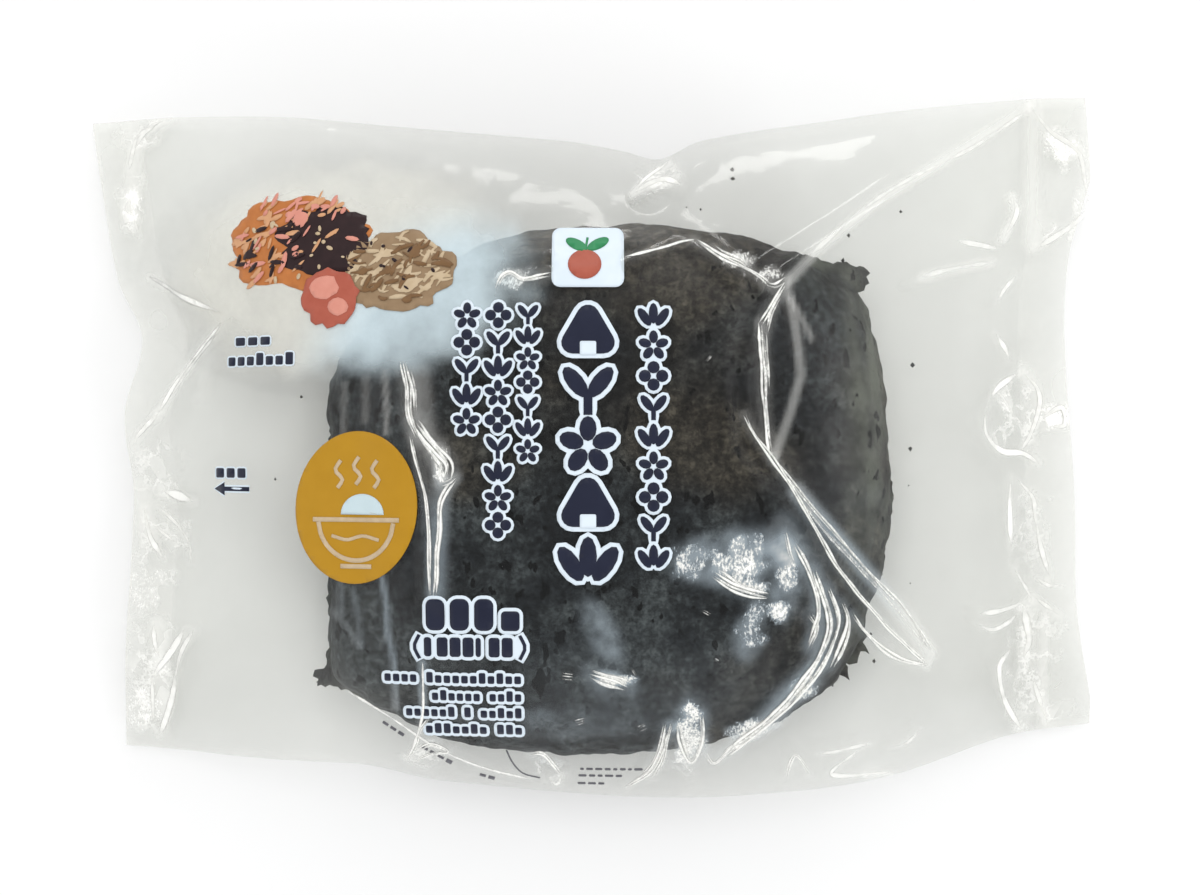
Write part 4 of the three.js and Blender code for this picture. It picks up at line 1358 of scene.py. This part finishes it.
def make_decal(name, groups, lift, material, slot, **options):
    """One printed colour: all its patches as one piece. Outlines in a group may overlap."""
    points, faces = join_meshes([decal_mesh(group, lift, **options) for group in groups])
    return finish_piece(make_object(name, points, faces, material))


MIST_LIFT = 0.07
FIRST_INK = 0.14
SECOND_INK = 0.23
THIRD_INK = 0.32
FOURTH_INK = 0.41
SHEEN_LIFT = FOURTH_INK + INK_THICKNESS + 0.02


def flower(cx, cy, size):
    """Five petals round a gap."""
    petals = []
    for k in range(5):
        angle = math.radians(90 + 72 * k)
        petals.append(ellipse(cx + 0.29 * size * math.cos(angle), cy + 0.29 * size * math.sin(angle),
                              0.21 * size, 0.145 * size, 90 + 72 * k, 12))
    return petals


def leaf_pair(cx, cy, size):
    """Two leaves on a short stem."""
    return [ellipse(cx - 0.21 * size, cy + 0.10 * size, 0.31 * size, 0.14 * size, 128, 12),
            ellipse(cx + 0.21 * size, cy + 0.10 * size, 0.31 * size, 0.14 * size, 52, 12),
            stroke(((cx, cy - 0.45 * size), (cx, cy - 0.1 * size)), 0.15 * size)]


def four_dots(cx, cy, size):
    """Four dots set as a diamond."""
    return [ellipse(cx + a * 0.28 * size, cy + b * 0.28 * size, 0.20 * size, 0.20 * size, 0, 12)
            for a, b in ((1, 0), (0, 1), (-1, 0), (0, -1))]


def grain_fan(cx, cy, size):
    """Three grains of rice, fanned out."""
    return [ellipse(cx + a * size, cy + b * size, 0.15 * size, 0.34 * size, turn, 12)
            for a, b, turn in ((-0.29, -0.04, 34), (0, 0.08, 0), (0.29, -0.04, -34))]


def rice_triangle(cx, cy, size):
    """A rounded triangle, the plainest sign for a rice ball."""
    outline = []
    for heading in (90, 210, 330):
        (corner_x, corner_y), = arc(cx, cy - 0.05 * size, 0.30 * size, 0.30 * size, [heading])
        outline += arc(corner_x, corner_y, 0.19 * size, 0.19 * size, range(heading - 60, heading + 61, 24))
    return [outline]


MOTIFS = (flower, four_dots, leaf_pair, grain_fan)

# Upright columns of motifs: middle, top, bottom, how many, motif size and margin of the white round them.
COLUMNS = (
    (-21.1, 23.9, 1.1, 5, 4.9, 0.50),
    (-15.7, 24.0, -16.5, 9, 4.9, 0.50),
    (-10.6, 24.0, -3.6, 7, 4.4, 0.50),
    (10.9, 24.2, -22.4, 9, 5.3, 0.55),
)
TITLE_COLUMN = (-0.3, 24.0, -25.4, 5, 10.2, 0.80)

# Level lines of small blocks, under the price and at the left: left end, right end, bottom, block height
# and lengths of the words.
WORD_LINES = (
    (-36.0, -11.6, -41.7, 1.9, (4, 11)),
    (-27.6, -11.6, -44.9, 1.9, (6, 4)),
    (-32.4, -11.6, -48.0, 1.9, (6, 1, 5)),
    (-29.0, -11.6, -51.2, 1.9, (7, 3)),
)
SIDE_LINES = (
    (-63.8, -56.2, 17.2, 2.0, (3,)),
    (-65.2, -51.8, 13.6, 2.2, (7,)),
    (-67.8, -61.0, -6.4, 2.4, (3,)),
)
OPENING_ARROW = ((-68.0, -8.4), (-65.8, -7.2), (-65.8, -8.0), (-60.6, -8.0),
                 (-60.6, -8.8), (-65.8, -8.8), (-65.8, -9.6))


def column_motifs(middle, top, bottom, count, size, first):
    """The outlines of a column of motifs, as one group each."""
    pitch = (top - bottom) / count
    groups = []
    for k in range(count):
        motif = MOTIFS[(first + k) % len(MOTIFS)]
        groups.append(motif(middle, top - (k + 0.5) * pitch, min(size, 1.06 * pitch)))
    return groups


def word_blocks(left, right, bottom, height, words, seed):
    """A level line of small blocks of uneven height, with gaps between words."""
    draw = random.Random(seed)
    cells = sum(words) + 0.9 * (len(words) - 1)
    pitch = (right - left) / cells
    blocks = []
    x = left
    for word in words:
        for _ in range(word):
            top = bottom + height * draw.choice((0.72, 0.72, 1.0))
            blocks.append(rounded_box(x + 0.10 * pitch, bottom, x + 0.84 * pitch, top, 0.25, 3))
            x += pitch
        x += 0.9 * pitch
    return blocks


def price_blocks():
    """A bold row and a framed row of blocks, where a price would stand."""
    bold = [rounded_box(-28.2 + 4.2 * k, -32.4, -24.9 + 4.2 * k, -26.9, 1.2) for k in range(3)]
    small = [rounded_box(-15.2, -32.4, -12.0, -29.0, 0.7)]
    row = []
    for k, width in enumerate((1.3, 1.9, 1.9, 1.9, 0.9, 1.9, 1.9)):
        left = -28.6 + 2.25 * k
        row.append(rounded_box(left, -37.0, left + width, -33.6, 0.5))
    brackets = [stroke(((-29.4, -33.2), (-30.3, -35.3), (-29.4, -37.4)), 0.6),
                stroke(((-12.0, -33.2), (-11.1, -35.3), (-12.0, -37.4)), 0.6)]
    return [bold + small, row + brackets]


TITLE_MOTIFS = (rice_triangle, leaf_pair, flower, rice_triangle, grain_fan)
TITLE_BAND_HALF_WIDTH = 1.4
TITLE_BAND_HEIGHT = 2.4
TITLE_BAND_DROP = 4.2
SURROUND_OF_WORDS = 0.55
SURROUND_OF_PRICES = 0.6
SURROUND_OF_SIDE_LINES = 0.3


def title_motifs():
    """The middle column's motifs, one group each, and the bands across its two triangles."""
    middle, top, bottom, count, size, _ = TITLE_COLUMN
    pitch = (top - bottom) / count
    motifs = [motif(middle, top - (k + 0.5) * pitch, size) for k, motif in enumerate(TITLE_MOTIFS)]
    bands = []
    for place, motif in enumerate(TITLE_MOTIFS):
        if motif is rice_triangle:
            bottom = top - (place + 0.5) * pitch - TITLE_BAND_DROP
            bands.append([rounded_box(middle - TITLE_BAND_HALF_WIDTH, bottom,
                                      middle + TITLE_BAND_HALF_WIDTH, bottom + TITLE_BAND_HEIGHT, 0.3)])
    return motifs, bands


def make_lettering_fields():
    """Where words stood: columns of small motifs and lines of blocks, dark with a white surround."""
    dark = []
    white = []

    def add(groups, margin):
        dark.extend(groups)
        white.append([grown(outline, margin) for group in groups for outline in group])

    for number, (*column, margin) in enumerate(COLUMNS):
        add(column_motifs(*column, first=number), margin)
    motifs, bands = title_motifs()
    add(motifs, TITLE_COLUMN[-1])
    for group in price_blocks():
        add([group], SURROUND_OF_PRICES)
    for number, line in enumerate(WORD_LINES):
        add([word_blocks(*line, seed=number)], SURROUND_OF_WORDS)
    for line in SIDE_LINES:
        add([word_blocks(*line, seed=7)], SURROUND_OF_SIDE_LINES)
    add([[OPENING_ARROW]], SURROUND_OF_SIDE_LINES)
    make_decal("print_white_surround", white, FIRST_INK, WHITE_INK, "print_white")
    make_decal("print_dark_motifs", dark, SECOND_INK, DARK_INK, "print_dark")
    make_decal("print_title_bands", bands, THIRD_INK, WHITE_INK, "print_white")


DISC_CENTRE = (-40.6, -11.4)


def make_disc():
    """The mustard disc, with a line drawing of a steaming bowl of rice."""
    cx, cy = DISC_CENTRE
    disc = ellipse(cx, cy, 11.0, 13.3, -6, 60)
    make_decal("print_mustard_disc", [[disc]], FIRST_INK, MUSTARD_INK, "print_mustard")
    bowl = arc(cx, cy - 2.0, 6.8, 7.2, range(184, 357, 19))
    rim = ((cx - 7.8, cy - 2.1), (cx + 7.8, cy - 2.1))
    foot = ((cx - 2.8, cy - 10.2), (cx + 2.8, cy - 10.2))
    wave = ((cx - 4.4, cy - 4.9), (cx - 1.6, cy - 5.6), (cx + 1.2, cy - 4.9), (cx + 4.2, cy - 5.6))
    lines = [[stroke(bowl, 0.8)], [stroke(rim, 0.8)], [stroke(foot, 0.8)], [stroke(wave, 0.6)]]
    for k in (-1, 0, 1):
        x = cx + 3.3 * k
        y = cy + 4.0 - 0.6 * abs(k)
        lines.append([stroke(((x, y), (x + 0.9, y + 1.5), (x - 0.4, y + 3.1), (x + 0.6, y + 4.8)), 0.7)])
    make_decal("print_bowl_lines", lines, SECOND_INK, IVORY_INK, "print_white")
    heap = arc(cx + 1.2, cy - 1.2, 3.9, 3.6, range(0, 181, 12))
    make_decal("print_rice_heap", [[heap]], SECOND_INK, PALE_INK, "print_white")


def make_label():
    """A small white label with round corners, with a plum and two leaves on it."""
    label = rounded_box(-6.6, 26.6, 5.9, 37.4, 1.5)
    plum = ellipse(-0.9, 30.7, 2.9, 2.7, 0, 28)
    leaves = [ellipse(-2.3, 34.3, 2.1, 0.95, 152, 16), ellipse(1.4, 34.4, 2.1, 0.95, 28, 16),
              stroke(((-0.8, 33.2), (-0.4, 35.6)), 0.4)]
    make_decal("print_label", [[label]], THIRD_INK, WHITE_INK, "print_white")
    make_decal("print_plum", [[plum]], FOURTH_INK, CORAL_INK, "print_food")
    make_decal("print_plum_leaves", [leaves], FOURTH_INK, GREEN_INK, "print_food")


MIST_CENTRE = (-43.6, 30.1)


def make_mist():
    """A cloud of thin white ink under the picture of the fillings."""
    points, faces = decal_mesh([ellipse(*MIST_CENTRE, 41, 23, -2, 72)], MIST_LIFT)
    mist = make_object("print_mist", points, faces, MIST_INK)
    x, y = points[:, 0], points[:, 1]
    distance = np.hypot((x - MIST_CENTRE[0]) / 39, (y - MIST_CENTRE[1]) / 21.5)
    ragged = 0.13 * plan_noise(x, y, 9) + 0.06 * plan_noise(x, y, 3, 4.0)
    over_ball = 1 - smooth(ball_share(x, y), 0.92, 1.16)
    add_attribute(mist, "cover", mix(0.35, 0.57, over_ball) * (1 - smooth(distance + ragged, 0.55, 0.98)))
    # Over the ball the ink is tinted bluish by a painted reflection of sky.
    add_attribute(mist, "cool", over_ball)
    return finish_piece(mist)


def scattered(draw, centre, half, count, shape):
    """Shapes drawn at random inside an ellipse."""
    shapes = []
    for _ in range(count):
        heading = draw.uniform(0, 2 * math.pi)
        reach = math.sqrt(draw.uniform(0, 1))
        shapes.append(shape(draw, centre[0] + half[0] * reach * math.cos(heading),
                            centre[1] + half[1] * reach * math.sin(heading)))
    return shapes


def flake(draw, x, y):
    """A shaving of dried fish."""
    return ellipse(x, y, draw.uniform(0.6, 1.7), draw.uniform(0.2, 0.5), draw.uniform(-10, 80), 8)


def shred(draw, x, y):
    """A bent shred of radish."""
    heading = draw.uniform(-0.4, 1.3)
    length = draw.uniform(1.6, 4.2)
    bend = draw.uniform(-0.6, 0.6)
    dx, dy = length * math.cos(heading), length * math.sin(heading)
    middle = (x - bend * dy / length, y + bend * dx / length)
    points = ((x - dx / 2, y - dy / 2), middle, (x + dx / 2, y + dy / 2))
    return stroke(points, draw.uniform(0.4, 0.95), 0.5)


def speck(draw, x, y):
    """A small spot."""
    return ellipse(x, y, draw.uniform(0.3, 0.7), draw.uniform(0.2, 0.4), draw.uniform(0, 180), 8)


def make_fillings():
    """The fillings printed as fields and simple shapes: dark kelp with flakes, pale shreds and roe."""
    draw = random.Random(23)
    left_flakes = scattered(draw, (-57.4, 33.6), (7.0, 6.0), 70, flake)
    top_flakes = scattered(draw, (-51.5, 41.2), (8.0, 2.4), 44, flake)
    few_flakes = scattered(draw, (-46.8, 35.6), (7.0, 5.0), 6, flake)
    shreds = scattered(draw, (-33.6, 30.2), (8.6, 6.0), 96, shred)
    dark_specks = scattered(draw, (-34.0, 31.0), (7.5, 5.0), 10, speck)
    white_specks = scattered(draw, (-52.0, 34.0), (10.0, 6.5), 16, speck)
    tan_flakes = left_flakes[:36] + top_flakes[:20] + few_flakes[:3]
    pale_flakes = left_flakes[36:50] + top_flakes[20:] + few_flakes[3:]
    sheen = [[blob(-46.6, 27.0, 2.6, 2.2, 0.3, 6.0, 14)], [blob(-44.0, 23.6, 1.8, 1.6, 0.3, 7.0, 12)]]
    for name, groups, lift, ink in (
        ("print_flake_field", [[blob(-51.8, 35.2, 12.6, 8.4, 0.22, 2.0)]], FIRST_INK, RUST_INK),
        ("print_kelp_field", [[blob(-47.0, 35.4, 8.2, 6.2, 0.28, 1.0)]], SECOND_INK, KELP_INK),
        ("print_shred_field", [[blob(-33.4, 29.8, 9.8, 7.2, 0.26, 3.0)]], SECOND_INK, CREAM_INK),
        ("print_roe", [[blob(-45.4, 25.2, 5.0, 5.2, 0.34, 4.0, 30)]], FOURTH_INK, CORAL_INK),
        ("print_tan_flakes", [tan_flakes], THIRD_INK, TAN_INK),
        ("print_pale_flakes", [pale_flakes], FOURTH_INK, PINK_INK),
        ("print_dark_flakes", [left_flakes[50:]], FOURTH_INK, KELP_INK),
        ("print_ivory_shreds", [shreds[:62]], THIRD_INK, IVORY_INK),
        ("print_brown_shreds", [shreds[62:]], FOURTH_INK, BROWN_INK),
        ("print_dark_specks", [dark_specks], FOURTH_INK, KELP_INK),
        ("print_white_specks", [white_specks], FOURTH_INK, IVORY_INK),
        ("print_roe_sheen", sheen, SHEEN_LIFT, PINK_INK),
    ):
        make_decal(name, groups, lift, ink, "print_food")


def make_edge_print():
    """Ends of the back panel's fine print, which wrap round to the near side."""
    rows = []
    slant = ((-36.6, -49.4), (-28.2, -55.0), (-21.4, -59.0), (-13.6, -61.7))
    x, y, _ = smooth_chain(slant, step=1.5)
    draw = random.Random(4)
    for k in range(len(x) - 1):
        if draw.random() < 0.8:
            end = (mix(x[k], x[k + 1], 0.7), mix(y[k], y[k + 1], 0.7))
            rows.append(stroke(((x[k], y[k]), end), draw.uniform(0.5, 0.9)))
    for left, right, level in ((-1.8, 9.2, -58.1), (-2.1, 4.6, -59.5), (-2.3, 2.6, -61.2)):
        at = left
        while at < right:
            length = draw.uniform(0.6, 1.6)
            rows.append(rounded_box(at, level - 0.25, at + length, level + 0.25, 0.2, 3))
            at += length + 0.4
    rows.append(stroke(((-14.8, -54.4), (-13.7, -57.2), (-12.0, -59.3), (-9.0, -60.2)), 0.3))
    make_decal("print_edge_lines", [rows], FIRST_INK, GREY_INK, "print_dark")


BACK_PANEL_LIFT = 0.05
BACK_LINES_LIFT = 0.005


def make_back_panel():
    """A plain white panel on the back, with level grey lines and a ruled table."""
    panel = [rounded_box(-38, -34, 44, 22, 2)]
    make_decal("print_back_panel", [panel], BACK_PANEL_LIFT, WHITE_INK, "print_white", surface=back_height)
    draw = random.Random(31)
    lines = []
    for row in range(11):
        level = 17.5 - 3.2 * row
        at = -34.0
        while at < 4:
            length = draw.uniform(2.5, 9)
            lines.append(rounded_box(at, level, min(at + length, 6), level + 1.2, 0.4, 3))
            at += length + 1.2
    for row in range(7):
        level = 17.0 - 5 * row
        lines.append(rounded_box(11, level, 40, level + 0.4, 0.15, 3))
    make_decal("print_back_lines", [lines], BACK_LINES_LIFT, GREY_INK, "print_dark", surface=back_height)


# ------------------------------------------------------------------ studio

def make_floor():
    """A plain pale floor."""
    material, tree = new_material("studio_floor")
    inputs = {"Base Color": (0.93, 0.93, 0.93), "Roughness": 0.9, "Specular IOR Level": 0.1}
    show_surface(tree, add_shader(tree, "Principled", inputs))
    half = 3000
    level = -0.05
    points = [(-half, -half, level), (half, -half, level), (half, half, level), (-half, half, level)]
    floor = make_object("studio_floor", points, [(0, 1, 2, 3)], material)


def make_world():
    """Soft light from all round, dimmer straight overhead so that level film stays clear."""
    world = bpy.data.worlds.new("studio")
    bpy.context.scene.world = world
    world.use_nodes = True
    tree = world.node_tree
    tree.nodes.clear()
    direction = add_node(tree, "ShaderNodeTexCoord").outputs["Generated"]
    upward = add_node(tree, "ShaderNodeSeparateXYZ", {"Vector": direction}).outputs["Z"]
    sky = ramp(tree, upward, (0.0, (1.0, 1.0, 1.0)), (0.70, (0.95, 0.95, 0.95)), (0.96, (0.30, 0.30, 0.30)))
    background = add_node(tree, "ShaderNodeBackground", {"Color": sky, "Strength": 0.9})
    add_node(tree, "ShaderNodeOutputWorld", {"Surface": background.outputs["Background"]})


def add_softbox(name, place, target, width, height, power, colour, mirrored=True):
    """A rectangular light that faces a point; one that isn't mirrored leaves no highlight."""
    light = bpy.data.lights.new(name, "AREA")
    light.shape = "RECTANGLE"
    light.size = width
    light.size_y = height
    light.energy = power
    light.color = colour
    lamp = bpy.data.objects.new(name, light)
    lamp.location = place
    lamp.rotation_euler = (Vector(target) - Vector(place)).to_track_quat("-Z", "Y").to_euler()
    lamp.visible_glossy = mirrored
    bpy.context.scene.collection.objects.link(lamp)


def make_camera():
    """Straight above the pack, as a hand-held camera looks down on a table."""
    height = 0.367
    mid_plane = 0.017
    frame_width = 0.216
    camera = bpy.data.cameras.new("camera")
    camera.sensor_width = 36
    camera.lens = camera.sensor_width * (height - mid_plane) / frame_width
    camera_object = bpy.data.objects.new("camera", camera)
    camera_object.location = (0.00175, -0.00098, height)
    bpy.context.scene.collection.objects.link(camera_object)
    bpy.context.scene.camera = camera_object


make_camera()
make_world()
make_floor()
middle_of_pack = (0, 0, 0.02)
add_softbox("overhead_fill", (0.06, 0.22, 1.15), middle_of_pack, 0.9, 0.9, 6.2, (1, 1, 1), mirrored=False)
add_softbox("near_right_softbox", (0.45, -0.70, 0.45), middle_of_pack, 0.30, 0.14, 1.1, (0.95, 0.98, 1.0),
            mirrored=False)
add_softbox("far_softbox", (0.10, 0.95, 0.35), middle_of_pack, 0.36, 0.12, 0.9, (1.0, 0.99, 0.97))

make_film()
make_folds()
make_rice_ball()
make_flaps()
make_crumbs()
make_mist()
make_fillings()
make_lettering_fields()
make_disc()
make_label()
make_edge_print()
make_back_panel()

bpy.context.scene.view_settings.view_transform = "Standard"
